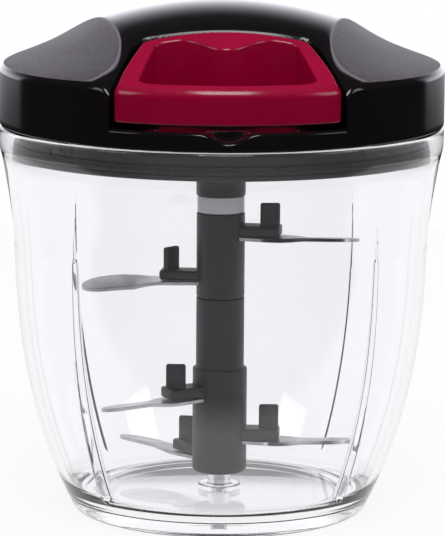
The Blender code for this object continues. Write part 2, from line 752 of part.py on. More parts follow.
def pocket_outline(grow):
    """Plan of the handle pocket, open past the lid's front."""
    slope = (POCKET_FRONT_HALF - POCKET_REAR_HALF) / (POCKET_REAR_Y - POCKET_FRONT_Y)
    front_y = -(LID_RADIUS + CUT_OVERRUN)
    front_half = POCKET_FRONT_HALF + slope * (POCKET_FRONT_Y - front_y) + grow
    rear_y = POCKET_REAR_Y + grow
    rear_half = POCKET_REAR_HALF + grow
    corner = POCKET_CORNER_SHARE
    side_x = rear_half + (front_half - rear_half) * corner
    side_y = rear_y + (front_y - rear_y) * corner
    rear_x = rear_half * (1.0 - corner)
    right = bend((side_x, side_y), (rear_half, rear_y), (rear_x, rear_y), ROUND_STEPS * 2)
    left = [(-x, y) for x, y in reversed(right)]
    return [(-front_half, front_y), (front_half, front_y)] + right + left


def screw_places():
    return [around(HOUSING_SCREW_CIRCLE, angle) for angle in HOUSING_SCREW_ANGLES]


def base_floor_top():
    return SKIRT_BOTTOM_Z + BASE_FLOOR


def cord_level():
    return CHANNEL_TOP_Z - CORD_RADIUS - SEAT_GAP - (CHANNEL_TOP_Z - CHANNEL_BOTTOM_Z - 2.0 * CORD_RADIUS
                                                     - CORD_TURNS * CORD_PITCH - 2.0 * SEAT_GAP) / 2.0


def make_lid_cavity():
    """Hollow of the lid cover, with room left for everything moulded on its inside."""
    inner = COVER_WALL
    foot = RIM_TOP_Z - CUT_OVERRUN
    outline = lid_outline(inner) + [(LID_RADIUS - inner, foot), (0.0, foot)]
    hollow = turned("lid_hollow", outline, None, collection=CUTTERS)
    for side in (-1, 1):
        combine(hollow, scoop_cutter("scoop_wall_%d" % (side + 2), side, inner))
    combine(hollow, dish_cutter("dish_wall", inner))
    pocket = prism("pocket_wall", pocket_outline(inner), POCKET_FLOOR_Z - inner,
                   DOME_APEX_Z + CUT_OVERRUN, collection=CUTTERS)
    combine(hollow, pocket)
    guard_depth = NOTCH_REACH + inner
    guard_y = -(LID_RADIUS - guard_depth / 2.0)
    guard_bottom = BASE_FLANGE_TOP_Z + SEAT_GAP
    guard_height = POCKET_FLOOR_Z - guard_bottom
    guard = box("notch_guard", (2.0 * (NOTCH_HALF_WIDTH + inner), guard_depth + CUT_OVERRUN, guard_height),
                (0.0, guard_y, guard_bottom + guard_height / 2.0))
    combine(hollow, guard)
    boss_bottom = base_floor_top() + SEAT_GAP
    for k, place in enumerate(screw_places(), start=1):
        boss = rod("screw_boss_%d" % k, SCREW_BOSS_RADIUS, boss_bottom, DOME_APEX_Z, place=place)
        combine(hollow, boss)
    post = rod("spool_post", POST_RADIUS, POST_END_Z, DOME_APEX_Z)
    return combine(hollow, post)


def make_lid_cover(looks):
    foot = RIM_TOP_Z + SEAT_GAP
    chamfer = COVER_FOOT_CHAMFER
    outline = lid_outline(0.0) + [(LID_RADIUS, foot + chamfer), (LID_RADIUS - chamfer, foot), (0.0, foot)]
    cover = turned("lid_cover", outline, looks["gloss_black"], steps=TURN_STEPS)
    for side in (-1, 1):
        combine(cover, scoop_cutter("scoop_%d" % (side + 2), side, 0.0))
    combine(cover, dish_cutter("dish", 0.0))
    pocket = prism("pocket", pocket_outline(0.0), POCKET_FLOOR_Z, DOME_APEX_Z + CUT_OVERRUN,
                   collection=CUTTERS)
    for side in (-1, 1):
        rail = box("rail_%d" % (side + 2), (RAIL_WIDTH, RAIL_LENGTH, 2.0 * RAIL_HEIGHT),
                   (side * RAIL_SPACING / 2.0, RAIL_FRONT_Y + RAIL_LENGTH / 2.0, POCKET_FLOOR_Z))
        combine(pocket, rail)
    combine(cover, pocket)
    combine(cover, notch_cutter())
    combine(cover, make_lid_cavity())
    for k, place in enumerate(screw_places(), start=1):
        hole = rod("screw_hole_%d" % k, SCREW_RADIUS + PIN_GAP, SKIRT_BOTTOM_Z,
                   screw_head_top() + SCREW_LENGTH + SEAT_GAP, place=place)
        combine(cover, hole)
    hole = rod("post_hole", SCREW_RADIUS + PIN_GAP, POST_END_Z - CUT_OVERRUN, POST_END_Z + SCREW_LENGTH)
    combine(cover, hole)
    eyelet_hole = rod("eyelet_hole", EYELET_RADIUS + PIN_GAP, -CUT_OVERRUN, CUT_OVERRUN + COVER_WALL)
    eyelet_hole.rotation_euler = (-math.pi / 2.0, 0.0, 0.0)
    eyelet_hole.location = (0.0, POCKET_REAR_Y, cord_level())
    return combine(cover, eyelet_hole)


def notch_cutter():
    """Round bar that dips the lip under the handle for a thumb."""
    radius = (NOTCH_HALF_WIDTH ** 2 + NOTCH_DEPTH ** 2) / (2.0 * NOTCH_DEPTH)
    bar = rod("thumb_notch", radius, 0.0, NOTCH_REACH + CUT_OVERRUN, steps=NOTCH_STEPS, turn=0.0)
    bar.rotation_euler = (-math.pi / 2.0, 0.0, 0.0)
    bar.location = (0.0, -(LID_RADIUS + CUT_OVERRUN), POCKET_FLOOR_Z - NOTCH_DEPTH + radius)
    return bar


# Lid base, seal and screws

def seal_bottom():
    return SKIRT_BOTTOM_Z + SEAL_RISE


def make_lid_base(looks):
    flange = LID_RADIUS - COVER_WALL - SEAT_GAP
    seat = RIM_TOP_Z + SEAT_GAP
    groove = SKIRT_RADIUS - SEAL_DEPTH + SEAT_GAP
    groove_top = seal_bottom() + SEAL_HEIGHT + SEAT_GAP
    groove_bottom = seal_bottom() - SEAT_GAP
    inner = SKIRT_RADIUS - SKIRT_WALL
    outline = rounded([
        (flange, BASE_FLANGE_TOP_Z, 0.0), (flange, seat, 0.0), (SKIRT_RADIUS, seat, 0.0),
        (SKIRT_RADIUS, groove_top, 0.0), (groove, groove_top, 0.0),
        (groove, groove_bottom, 0.0), (SKIRT_RADIUS, groove_bottom, 0.0),
        (SKIRT_RADIUS, SKIRT_BOTTOM_Z, BASE_ROUND), (COLLAR_RADIUS, SKIRT_BOTTOM_Z, 0.0),
        (COLLAR_RADIUS, COLLAR_BOTTOM_Z, SHAFT_EDGE), (COLLAR_BORE, COLLAR_BOTTOM_Z, 0.0),
        (COLLAR_BORE, base_floor_top(), 0.0), (inner, base_floor_top(), 0.0),
        (inner, BASE_FLANGE_TOP_Z, 0.0)], closed=True)
    base = turned("lid_base", outline, looks["satin_black"], closed=True)
    lug_z = seat - LUG_TOP_DROP - LUG_HEIGHT / 2.0
    for k in range(RIB_COUNT):
        angle = LUG_FIRST_ANGLE + 360.0 * k / RIB_COUNT
        x, y = around(SKIRT_RADIUS - SKIRT_WALL / 2.0 + LUG_PROUD, angle)
        lug = box("lug_%d" % (k + 1), (LUG_WIDTH, SKIRT_WALL, LUG_HEIGHT), (x, y, lug_z),
                  turn=math.radians(angle), edge=LUG_PROUD)
        combine(base, lug, "UNION")
    for k, place in enumerate(screw_places(), start=1):
        hole = rod("base_hole_%d" % k, SCREW_RADIUS + RUNNING_GAP, SKIRT_BOTTOM_Z - CUT_OVERRUN,
                   base_floor_top() + CUT_OVERRUN, place=place)
        head = rod("base_head_%d" % k, SCREW_HEAD_RADIUS + SEAT_GAP, SKIRT_BOTTOM_Z - CUT_OVERRUN,
                   screw_head_top() + SEAT_GAP, place=place)
        combine(base, hole)
        combine(base, head)
    return base


def screw_head_top():
    return SKIRT_BOTTOM_Z + SCREW_HEAD_HEIGHT - SEAT_GAP


def make_seal(looks):
    outer = LID_RADIUS - RIM_WALL - SEAT_GAP
    inner = SKIRT_RADIUS - SEAL_DEPTH + 2.0 * SEAT_GAP
    bottom = seal_bottom()
    top = bottom + SEAL_HEIGHT
    outline = rounded([(outer, top, 0.0), (outer, bottom, 0.0),
                       (inner, bottom, 0.0), (inner, top, 0.0)], closed=True)
    return turned("lid_seal", outline, looks["rubber"], closed=True, steps=TURN_STEPS)


def make_screw(name, place, head_bottom, length, look):
    """Slotted pan screw that points up; its head hangs at the lower end."""
    head_top = head_bottom + SCREW_HEAD_HEIGHT
    outline = rounded([(0.0, head_top + length, 0.0), (SCREW_RADIUS, head_top + length, SCREW_RADIUS / 2.0),
                       (SCREW_RADIUS, head_top, 0.0), (SCREW_HEAD_RADIUS, head_top, 0.0),
                       (SCREW_HEAD_RADIUS, head_bottom, SCREW_HEAD_HEIGHT / 2.0), (0.0, head_bottom, 0.0)])
    screw = turned(name, outline, look, steps=SMALL_STEPS)
    screw.location = (*place, 0.0)
    slot = box(name + "_slot",
               (2.0 * SCREW_HEAD_RADIUS + CUT_OVERRUN, SCREW_SLOT_WIDTH, 2.0 * SCREW_SLOT_DEPTH),
               (*place, head_bottom))
    return combine(screw, slot)


def make_screws(looks):
    for k, place in enumerate(screw_places(), start=1):
        make_screw("housing_screw_%d" % k, place, screw_head_top() - SCREW_HEAD_HEIGHT, SCREW_LENGTH,
                   looks["steel"])
    washer_top = POST_END_Z - SEAT_GAP
    washer_bottom = washer_top - WASHER_THICKNESS
    hole = SCREW_RADIUS + RUNNING_GAP
    washer = [(WASHER_RADIUS, washer_top), (WASHER_RADIUS, washer_bottom),
              (hole, washer_bottom), (hole, washer_top)]
    turned("spool_washer", washer, looks["steel"], closed=True, steps=SMALL_STEPS)
    make_screw("spool_screw", (0.0, 0.0), washer_bottom - SEAT_GAP - SCREW_HEAD_HEIGHT,
               SCREW_LENGTH, looks["steel"])


# Cord drum, spring and one-way drive

def make_spool(looks):
    cup_floor = CHANNEL_TOP_Z + FLANGE_THICKNESS
    cup_top = cup_floor + SPRING_CUP_DEPTH
    lower_face = CHANNEL_BOTTOM_Z - FLANGE_THICKNESS
    cup_inner = FLANGE_RADIUS - SPRING_CUP_WALL
    bore = POST_RADIUS + RUNNING_GAP
    outline = rounded([
        (FLANGE_RADIUS, cup_top, 0.0), (FLANGE_RADIUS, CHANNEL_TOP_Z, SHAFT_EDGE),
        (DRUM_RADIUS, CHANNEL_TOP_Z, 0.0), (DRUM_RADIUS, CHANNEL_BOTTOM_Z, 0.0),
        (FLANGE_RADIUS, CHANNEL_BOTTOM_Z, SHAFT_EDGE), (FLANGE_RADIUS, lower_face, 0.0),
        (SPOOL_HUB_RADIUS, lower_face, 0.0), (SPOOL_HUB_RADIUS, SPOOL_HUB_END_Z, 0.0),
        (SPOOL_RECESS_RADIUS, SPOOL_HUB_END_Z, 0.0), (SPOOL_RECESS_RADIUS, POST_END_Z, 0.0),
        (bore, POST_END_Z, 0.0), (bore, cup_floor, 0.0),
        (cup_inner, cup_floor, 0.0), (cup_inner, cup_top, 0.0)], closed=True)
    spool = turned("cord_spool", outline, looks["grey"], closed=True, steps=DRUM_STEPS)
    for k in range(2):
        pin = rod("pawl_pin_%d" % (k + 1), PAWL_PIN_RADIUS, ratchet_bottom() + SEAT_GAP,
                  lower_face + FLANGE_THICKNESS / 2.0, place=around(PAWL_PIN_CIRCLE, 180.0 * k))
        combine(spool, pin, "UNION")
    plate_bottom = cup_top + SEAT_GAP
    plate_top = plate_bottom + SPRING_COVER_THICKNESS
    plate_bore = bore + SEAT_GAP
    plate = [(FLANGE_RADIUS, plate_top), (FLANGE_RADIUS, plate_bottom),
             (plate_bore, plate_bottom), (plate_bore, plate_top)]
    turned("spring_cover", plate, looks["steel"], closed=True, steps=DRUM_STEPS)


def make_mainspring(looks):
    """Flat spiral from the fixed post out to the wall of the drum's cup."""
    cup_floor = CHANNEL_TOP_Z + FLANGE_THICKNESS
    half = SPRING_THICKNESS / 2.0
    start = POST_RADIUS + SEAT_GAP + half
    end = FLANGE_RADIUS - SPRING_CUP_WALL - SEAT_GAP - half
    count = int(SPRING_TURNS * SPRING_STEPS)
    outer = []
    inner = []
    for i in range(count + 1):
        radius = start + (end - start) * i / count
        angle = 360.0 * i / SPRING_STEPS
        outer.append(around(radius + half, angle))
        inner.append(around(radius - half, angle))
    bottom = cup_floor + (SPRING_CUP_DEPTH - SPRING_HEIGHT) / 2.0
    gap = (end - start) / SPRING_TURNS - SPRING_THICKNESS
    print("mainspring least gap to itself, mm:", round(gap / MILLIMETRE, 2))
    return prism("mainspring", outer + inner[::-1], bottom, bottom + SPRING_HEIGHT, looks["spring_steel"])


def winding_radius():
    return DRUM_RADIUS + SEAT_GAP + CORD_RADIUS


def eyelet_inner_y():
    return POCKET_REAR_Y + COVER_WALL + SEAT_GAP + EYELET_LIP


def leave_angle():
    """Compass direction where the cord leaves the drum for the eyelet."""
    return -math.degrees(math.acos(winding_radius() / -eyelet_inner_y()))


def make_cord(looks):
    level = cord_level()
    radius = winding_radius()
    turns = []
    for i in range(CORD_TURNS * CORD_STEPS + 1):
        x, y = around(radius, leave_angle() - 360.0 * i / CORD_STEPS)
        turns.append((x, y, level - CORD_PITCH * i / CORD_STEPS))
    tube_mesh("cord_winding", turns, CORD_RADIUS, look=looks["cord"])
    print("cord winding least gap to itself, mm:", round((CORD_PITCH - 2.0 * CORD_RADIUS) / MILLIMETRE, 2))

    tangent = around(radius, leave_angle())
    mouth = (0.0, eyelet_inner_y())
    run = math.hypot(mouth[0] - tangent[0], mouth[1] - tangent[1])
    start = tuple(t + (m - t) * SEAT_GAP / run for t, m in zip(tangent, mouth))
    before = tuple(m + (t - m) * EYELET_LIP_RADIUS / run for t, m in zip(tangent, mouth))
    after = (0.0, mouth[1] - EYELET_LIP)
    end = (0.0, KNOT_Y + KNOT_RADIUS + SEAT_GAP)
    route = [start] + bend(before, mouth, after, ROUND_STEPS * 2) + [end]
    tube_mesh("cord_lead", [(x, y, level) for x, y in route], CORD_RADIUS, look=looks["cord"])

    bm = bmesh.new()
    bmesh.ops.create_uvsphere(bm, u_segments=SMALL_STEPS, v_segments=SMALL_STEPS // 2,
                              radius=KNOT_RADIUS)
    knot = from_bmesh("cord_knot", bm, looks["cord"])
    knot.location = (0.0, KNOT_Y, level)


def make_eyelet(looks):
    lip_top = COVER_WALL + SEAT_GAP + EYELET_LIP
    outline = rounded([(EYELET_LIP_RADIUS, lip_top, EYELET_ROUND),
                       (EYELET_LIP_RADIUS, COVER_WALL + SEAT_GAP, 0.0),
                       (EYELET_RADIUS, COVER_WALL + SEAT_GAP, 0.0), (EYELET_RADIUS, 0.0, 0.0),
                       (EYELET_BORE, 0.0, EYELET_ROUND), (EYELET_BORE, lip_top, EYELET_ROUND)],
                      closed=True)
    eyelet = turned("cord_eyelet", outline, looks["grey"], closed=True, steps=SMALL_STEPS)
    eyelet.rotation_euler = (-math.pi / 2.0, 0.0, 0.0)
    eyelet.location = (0.0, POCKET_REAR_Y, cord_level())
    return eyelet


def ratchet_bottom():
    return base_floor_top() + SEAT_GAP


def make_drive(looks):
    spindle = COLLAR_BORE - RUNNING_GAP
    disc_bottom = SHAFT_TOP_Z + SEAT_GAP
    outline = rounded([(0.0, ratchet_bottom() - SEAT_GAP, 0.0), (spindle, ratchet_bottom() - SEAT_GAP, 0.0),
                       (spindle, COUPLER_DISC_TOP_Z, 0.0), (COUPLER_RADIUS, COUPLER_DISC_TOP_Z, SHAFT_EDGE),
                       (COUPLER_RADIUS, disc_bottom, SHAFT_EDGE), (0.0, disc_bottom, 0.0)])
    coupler = turned("drive_coupler", outline, looks["grey"], steps=SHAFT_STEPS)
    spigot = hexagon("drive_spigot", DRIVE_SPIGOT_RADIUS, SHAFT_TOP_Z - DRIVE_SPIGOT_LENGTH,
                     disc_bottom + CUT_OVERRUN / 2.0)
    combine(coupler, spigot, "UNION")
    hole = rod("coupler_hole", SCREW_RADIUS + PIN_GAP, ratchet_bottom() - CLUTCH_SCREW_SINK,
               ratchet_bottom() + CUT_OVERRUN)
    combine(coupler, hole)

    teeth = []
    for k in range(RATCHET_TEETH):
        angle = 360.0 * k / RATCHET_TEETH
        teeth.append(around(RATCHET_RADIUS, angle))
        for step in range(1, ROUND_STEPS + 1):
            share = step / ROUND_STEPS
            teeth.append(around(RATCHET_RADIUS - RATCHET_TOOTH * share,
                                angle + share * 360.0 / RATCHET_TEETH))
    wheel = prism("ratchet_wheel", teeth, ratchet_bottom(), ratchet_bottom() + RATCHET_THICKNESS,
                  looks["steel"])
    centre = rod("ratchet_hole", SCREW_RADIUS + RUNNING_GAP, ratchet_bottom() - CUT_OVERRUN,
                 ratchet_bottom() + RATCHET_THICKNESS + CUT_OVERRUN)
    combine(wheel, centre)
    screw = make_screw("clutch_screw", (0.0, 0.0), 0.0, CLUTCH_SCREW_SINK - SEAT_GAP
                       - SCREW_HEAD_HEIGHT + RATCHET_THICKNESS, looks["steel"])
    head_seat = ratchet_bottom() + RATCHET_THICKNESS + SEAT_GAP + SCREW_HEAD_HEIGHT
    screw.rotation_euler = (math.pi, 0.0, 0.0)
    screw.location = (0.0, 0.0, head_seat)
    slot = screw.modifiers["difference"].object
    slot.location = (0.0, 0.0, head_seat)
    for k in range(2):
        make_pawl("pawl_%d" % (k + 1), 180.0 * k, looks["steel"])


def make_pawl(name, angle, look):
    """Flat pawl: an eye round the drum's pin and a beak that stands in a ratchet tooth."""
    eye = [(PAWL_EYE_RADIUS * math.cos(turn), PAWL_EYE_RADIUS * math.sin(turn))
           for turn in (math.radians(90.0 + 180.0 * i / 8) for i in range(9))]
    tip = around(RATCHET_RADIUS + SEAT_GAP, PAWL_REACH_ANGLE)
    pin = around(PAWL_PIN_CIRCLE, 0.0)
    reach = math.hypot(tip[0] - pin[0], tip[1] - pin[1])
    beak = [(reach, -PAWL_TIP_WIDTH), (reach, PAWL_TIP_WIDTH)]
    bottom = ratchet_bottom() + (RATCHET_THICKNESS - PAWL_THICKNESS) / 2.0
    pawl = prism(name, eye + beak, bottom, bottom + PAWL_THICKNESS, look)
    hole = rod(name + "_hole", PAWL_PIN_RADIUS + RUNNING_GAP, bottom - CUT_OVERRUN,
               bottom + PAWL_THICKNESS + CUT_OVERRUN)
    heading = math.atan2(tip[1] - pin[1], tip[0] - pin[0]) + math.radians(angle)
    for thing in (pawl, hole):
        thing.location = (*around(PAWL_PIN_CIRCLE, angle), 0.0)
        thing.rotation_euler = (0.0, 0.0, heading)
    return combine(pawl, hole)


# Pull handle

def joined_sides(sides, counts, corner_share):
    """Closed outline from side functions of a share, with bends laid in at the corners."""
    points = []
    for k, side in enumerate(sides):
        following = sides[(k + 1) % len(sides)]
        for i in range(counts[k]):
            t = corner_share + (1.0 - 2.0 * corner_share) * i / (counts[k] - 1)
            points.append(side(t))
        turn = bend(side(1.0 - corner_share), side(1.0), following(corner_share), HANDLE_CORNER_POINTS)
        points += turn[1:-1]
    return points


def handle_outer():
    front_angle = math.degrees(math.asin(HANDLE_FRONT_HALF / HANDLE_FRONT_RADIUS))
    corner = around(HANDLE_FRONT_RADIUS, front_angle)

    def front(t):
        return around(HANDLE_FRONT_RADIUS, front_angle * (2.0 * t - 1.0))

    def right(t):
        return (corner[0] + (HANDLE_REAR_HALF - corner[0]) * t,
                corner[1] + (HANDLE_REAR_Y - HANDLE_REAR_BOW - corner[1]) * t)

    def rear(t):
        x = HANDLE_REAR_HALF * (1.0 - 2.0 * t)
        return x, HANDLE_REAR_Y - HANDLE_REAR_BOW * (x / HANDLE_REAR_HALF) ** 2

    def left(t):
        x, y = right(1.0 - t)
        return -x, y

    counts = (HANDLE_LONG_POINTS, HANDLE_SIDE_POINTS, HANDLE_LONG_POINTS, HANDLE_SIDE_POINTS)
    return joined_sides((front, right, rear, left), counts, HANDLE_OUTER_CORNER_SHARE)


def handle_opening():
    radius = HANDLE_FRONT_RADIUS - HANDLE_FRONT_WALL
    front_half = HANDLE_FRONT_HALF - HANDLE_SIDE_WALL
    rear_half = HANDLE_REAR_HALF - HANDLE_REAR_SIDE_WALL
    front_angle = math.degrees(math.asin(front_half / radius))
    corner = around(radius, front_angle)

    def front(t):
        return around(radius, front_angle * (2.0 * t - 1.0))

    def rear(t):
        x = rear_half * (1.0 - 2.0 * t)
        wave = 0.5 + 0.5 * math.cos(math.pi * min(abs(x) / (rear_half * HANDLE_LOBE_SHARE), 1.0))
        return x, HANDLE_LOBE_Y - HANDLE_REAR_BOW + (HANDLE_BUMP_Y - HANDLE_LOBE_Y) * wave

    def right(t):
        end = rear(0.0)
        return (corner[0] + (end[0] - corner[0]) * t, corner[1] + (end[1] - corner[1]) * t)

    def left(t):
        x, y = right(1.0 - t)
        return -x, y

    counts = (HANDLE_LONG_POINTS, HANDLE_SIDE_POINTS, HANDLE_LONG_POINTS, HANDLE_SIDE_POINTS)
    return joined_sides((front, right, rear, left), counts, HANDLE_OPENING_CORNER_SHARE)


def make_handle(looks):
    bottom = POCKET_FLOOR_Z + RAIL_HEIGHT + SEAT_GAP
    edge = HANDLE_EDGE
    eased = edge * HANDLE_EDGE_SHARE
    outer = handle_outer()
    opening = handle_opening()

    def level(outline, shift, height=None, drop=0.0):
        moved = inset(outline, shift) if shift else outline
        loop = []
        for x, y in moved:
            top = dome_height(x, y) - HANDLE_TOP_DROP
            loop.append((x, y, height if height is not None else top - drop))
        return loop

    loops = [level(opening, -edge, bottom),
             level(opening, 0.0, bottom + edge),
             level(opening, 0.0, drop=edge),
             level(opening, -eased, drop=eased),
             level(opening, -edge),
             level(outer, edge),
             level(outer, eased, drop=eased),
             level(outer, 0.0, drop=edge),
             level(outer, 0.0, bottom + edge),
             level(outer, edge, bottom)]
    handle = loft("handle", loops, looks["red"], ring=True)
    knot_room = rod("knot_room", KNOT_RADIUS + SEAT_GAP, bottom - CUT_OVERRUN,
                    cord_level() + KNOT_RADIUS + SEAT_GAP, place=(0.0, KNOT_Y))
    combine(handle, knot_room)
    cord_hole = rod("cord_hole", CORD_RADIUS + CORD_HOLE_SPARE, 0.0, HANDLE_REAR_Y - KNOT_Y + CUT_OVERRUN)
    cord_hole.rotation_euler = (-math.pi / 2.0, 0.0, 0.0)
    cord_hole.location = (0.0, KNOT_Y, cord_level())
    return combine(handle, cord_hole)


def build():
    clear_scene()
    looks = make_materials()
    make_bowl(looks)
    make_pivot_pin(looks)
    make_rotor(looks)
    make_lid_cover(looks)
    make_lid_base(looks)
    make_seal(looks)
    make_screws(looks)
    make_eyelet(looks)
    make_spool(looks)
    make_mainspring(looks)
    make_cord(looks)
    make_drive(looks)
    make_handle(looks)


build()
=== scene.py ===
import math

import bpy
import numpy as np
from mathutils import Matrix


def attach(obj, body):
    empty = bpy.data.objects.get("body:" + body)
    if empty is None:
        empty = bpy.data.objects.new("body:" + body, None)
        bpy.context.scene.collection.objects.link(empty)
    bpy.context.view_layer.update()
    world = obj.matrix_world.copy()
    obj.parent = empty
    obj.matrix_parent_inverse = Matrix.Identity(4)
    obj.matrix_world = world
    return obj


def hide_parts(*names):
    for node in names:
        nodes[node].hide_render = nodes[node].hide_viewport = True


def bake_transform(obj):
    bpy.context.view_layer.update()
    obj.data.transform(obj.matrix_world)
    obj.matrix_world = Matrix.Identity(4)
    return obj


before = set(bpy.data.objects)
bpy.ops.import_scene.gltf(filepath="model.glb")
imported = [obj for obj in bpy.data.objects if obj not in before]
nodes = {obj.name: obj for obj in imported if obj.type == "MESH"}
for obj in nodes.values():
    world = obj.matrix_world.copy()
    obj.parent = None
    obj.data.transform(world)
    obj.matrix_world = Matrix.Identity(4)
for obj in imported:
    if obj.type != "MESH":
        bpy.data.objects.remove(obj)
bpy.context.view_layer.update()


# Bowl
# The bowl is injection moulded in clear SAN, with a wall of 2.4 mm that bulges out from a flat foot ring.
# A thicker rim band takes the lid, a stepped boss in the floor takes the steel pin, and four slim ribs
# that taper to a spike run up the inside and stir the food back to the blades.

def linear(code):
    """Linear light of a six-figure sRGB colour."""
    parts = [int(code[i:i + 2], 16) / 255.0 for i in (0, 2, 4)]
    return tuple(c / 12.92 if c <= 0.04045 else ((c + 0.055) / 1.055) ** 2.4 for c in parts) + (1.0,)


def add_node(tree, kind, inputs=(), **settings):
    """Adds a node; inputs give each socket a value or the socket that feeds it."""
    node = tree.nodes.new(kind)
    for name, value in settings.items():
        setattr(node, name, value)
    for name, value in dict(inputs).items():
        if isinstance(value, bpy.types.NodeSocket):
            tree.links.new(value, node.inputs[name])
        else:
            node.inputs[name].default_value = value
    return node


def new_finish(name):
    """Empty material with the coordinates of its piece."""
    finish = bpy.data.materials.new(name)
    finish.use_nodes = True
    finish.node_tree.nodes.clear()
    place = add_node(finish.node_tree, "ShaderNodeTexCoord").outputs["Object"]
    return finish, finish.node_tree, place


def eased(corners, steps=6):
    """Half section through (radius, height, round) corners, each round laid in as an arc-like bend."""
    points = []
    for k, (r, z, size) in enumerate(corners):
        if size == 0:
            points.append((r, z))
            continue
        ends = []
        for other in (corners[k - 1], corners[(k + 1) % len(corners)]):
            run = math.hypot(other[0] - r, other[1] - z)
            share = min(size / run, 0.5)
            ends.append((r + (other[0] - r) * share, z + (other[1] - z) * share))
        for i in range(steps + 1):
            t = i / steps
            points.append(tuple((1 - t) ** 2 * a + 2 * t * (1 - t) * b + t * t * c
                                for a, b, c in zip(ends[0], (r, z), ends[1])))
    return points


def settle(piece):
    """Joins what meets, drops what is loose and turns every face outwards."""
    bpy.ops.object.mode_set(mode="EDIT")
    bpy.ops.mesh.select_all(action="SELECT")
    bpy.ops.mesh.remove_doubles(threshold=0.000001)
    bpy.ops.mesh.delete_loose(use_verts=True, use_edges=True, use_faces=False)
    bpy.ops.mesh.select_all(action="SELECT")
    bpy.ops.mesh.normals_make_consistent(inside=False)
    bpy.ops.object.mode_set(mode="OBJECT")
    return piece


def spun(name, section, steps=144):
    """Round piece: a ring of points is laid on its closed half section and spun round Z."""
    bpy.ops.object.select_all(action="DESELECT")
    bpy.ops.mesh.primitive_circle_add(vertices=len(section), radius=0.01)
    piece = bpy.context.object
    piece.name = piece.data.name = name
    for vertex, (r, z) in zip(piece.data.vertices, section):
        vertex.co = (r, 0.0, z)
    bpy.ops.object.mode_set(mode="EDIT")
    bpy.ops.mesh.select_all(action="SELECT")
    bpy.ops.mesh.spin(steps=steps, angle=math.tau, center=(0, 0, 0), axis=(0, 0, 1))
    bpy.ops.object.mode_set(mode="OBJECT")
    return settle(piece)


def drawn(name, loops, ring=False):
    """Piece drawn from loop to loop: the rows of a grid are laid on them, its seam is joined, its ends filled."""
    rows = len(loops) + ring
    count = len(loops[0])
    bpy.ops.object.select_all(action="DESELECT")
    bpy.ops.mesh.primitive_grid_add(x_subdivisions=count, y_subdivisions=rows - 1, size=1)
    piece = bpy.context.object
    piece.name = piece.data.name = name
    laid = [loops[k % len(loops)][i % count] for k in range(rows) for i in range(count + 1)]
    piece.data.vertices.foreach_set("co", np.array(laid, dtype=np.float32).ravel())
    bpy.ops.object.mode_set(mode="EDIT")
    bpy.ops.mesh.select_all(action="SELECT")
    bpy.ops.mesh.remove_doubles(threshold=0.000001)
    if not ring:
        bpy.ops.mesh.select_all(action="DESELECT")
        bpy.ops.mesh.select_non_manifold(extend=False)
        bpy.ops.mesh.fill_holes(sides=0)
    bpy.ops.object.mode_set(mode="OBJECT")
    return settle(piece)


def tube_loops(path, radii, count=16):
    """Circles of the given radii, square to a path."""
    path = np.array(path, dtype=float)
    loops = []
    heading = np.gradient(path, axis=0)
    side = np.cross(heading[0], (0.31, 0.52, 0.79))
    for point, ahead, radius in zip(path, heading, radii):
        ahead = ahead / np.linalg.norm(ahead)
        side = side - ahead * side.dot(ahead)
        side = side / np.linalg.norm(side)
        up = np.cross(ahead, side)
        turns = [math.tau * i / count for i in range(count)]
        loops.append([tuple(point + radius * (math.cos(a) * side + math.sin(a) * up)) for a in turns])
    return loops


def fit_in(piece, tool, operation):
    """Cuts the tool out of a piece or joins it on, and takes the tool away."""
    change = piece.modifiers.new("join", "BOOLEAN")
    change.operation = operation
    change.solver = "EXACT"
    change.object = tool
    bpy.context.view_layer.objects.active = piece
    bpy.ops.object.modifier_apply(modifier=change.name)
    bpy.data.objects.remove(tool, do_unlink=True)
    return piece


def mount(piece, finish, body, node, angle=34.0):
    """Smooths a finished piece, gives it its finish and puts it on its body in a CAD node's stead."""
    bpy.ops.object.select_all(action="DESELECT")
    piece.select_set(True)
    bpy.context.view_layer.objects.active = piece
    bpy.ops.object.shade_smooth_by_angle(angle=math.radians(angle))
    piece.data.materials.clear()
    piece.data.materials.append(finish)
    if body:
        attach(piece, body)
    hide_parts(node)
    return piece


def around(radius, angle):
    """Point in plan at a compass direction in degrees from -Y towards +X."""
    turn = math.radians(angle)
    return radius * math.sin(turn), -radius * math.cos(turn)


def wall_radius(height):
    """Outer radius of the bulging bowl wall."""
    return 0.0608 - 0.0176 * (1.0 - min(height / 0.0953, 1.0)) ** 2.8


section = eased([(0.0, 0.0035, 0), (0.0017, 0.0035, 0), (0.0017, 0.0096, 0), (0.0034, 0.0096, 0.0005),
                 (0.0034, 0.0066, 0.0004), (0.0063, 0.0066, 0.0005), (0.0063, 0.0050, 0.0004)])
inner_floor = wall_radius(0.0050) - 0.0024
inner_start = wall_radius(0.0110) - 0.0024
for i in range(15):
    t = i / 14.0
    section.append(((1 - t) ** 2 * (inner_floor - 0.0060) + 2 * t * (1 - t) * inner_floor + t * t * inner_start,
                    (1 - t) ** 2 * 0.0050 + 2 * t * (1 - t) * 0.0050 + t * t * 0.0110))
section += [(wall_radius(z) - 0.0024, z) for z in np.linspace(0.0110, 0.0800, 30)[1:-1]]
section += eased([(0.0583, 0.0800, 0), (0.0588, 0.0885, 0.0060), (0.0605, 0.1000, 0.0040), (0.0613, 0.1055, 0.0026),
                  (0.0614, 0.1090, 0.0026), (0.0614, 0.1145, 0.0004), (0.0650, 0.1145, 0.0011),
                  (0.0650, 0.1082, 0.0026), (0.0641, 0.1050, 0.0026), (0.0632, 0.1000, 0.0040),
                  (0.0613, 0.0885, 0.0060), (0.0607, 0.0800, 0)], 8)
section += [(wall_radius(z), z) for z in np.linspace(0.0790, 0.0022, 34)]
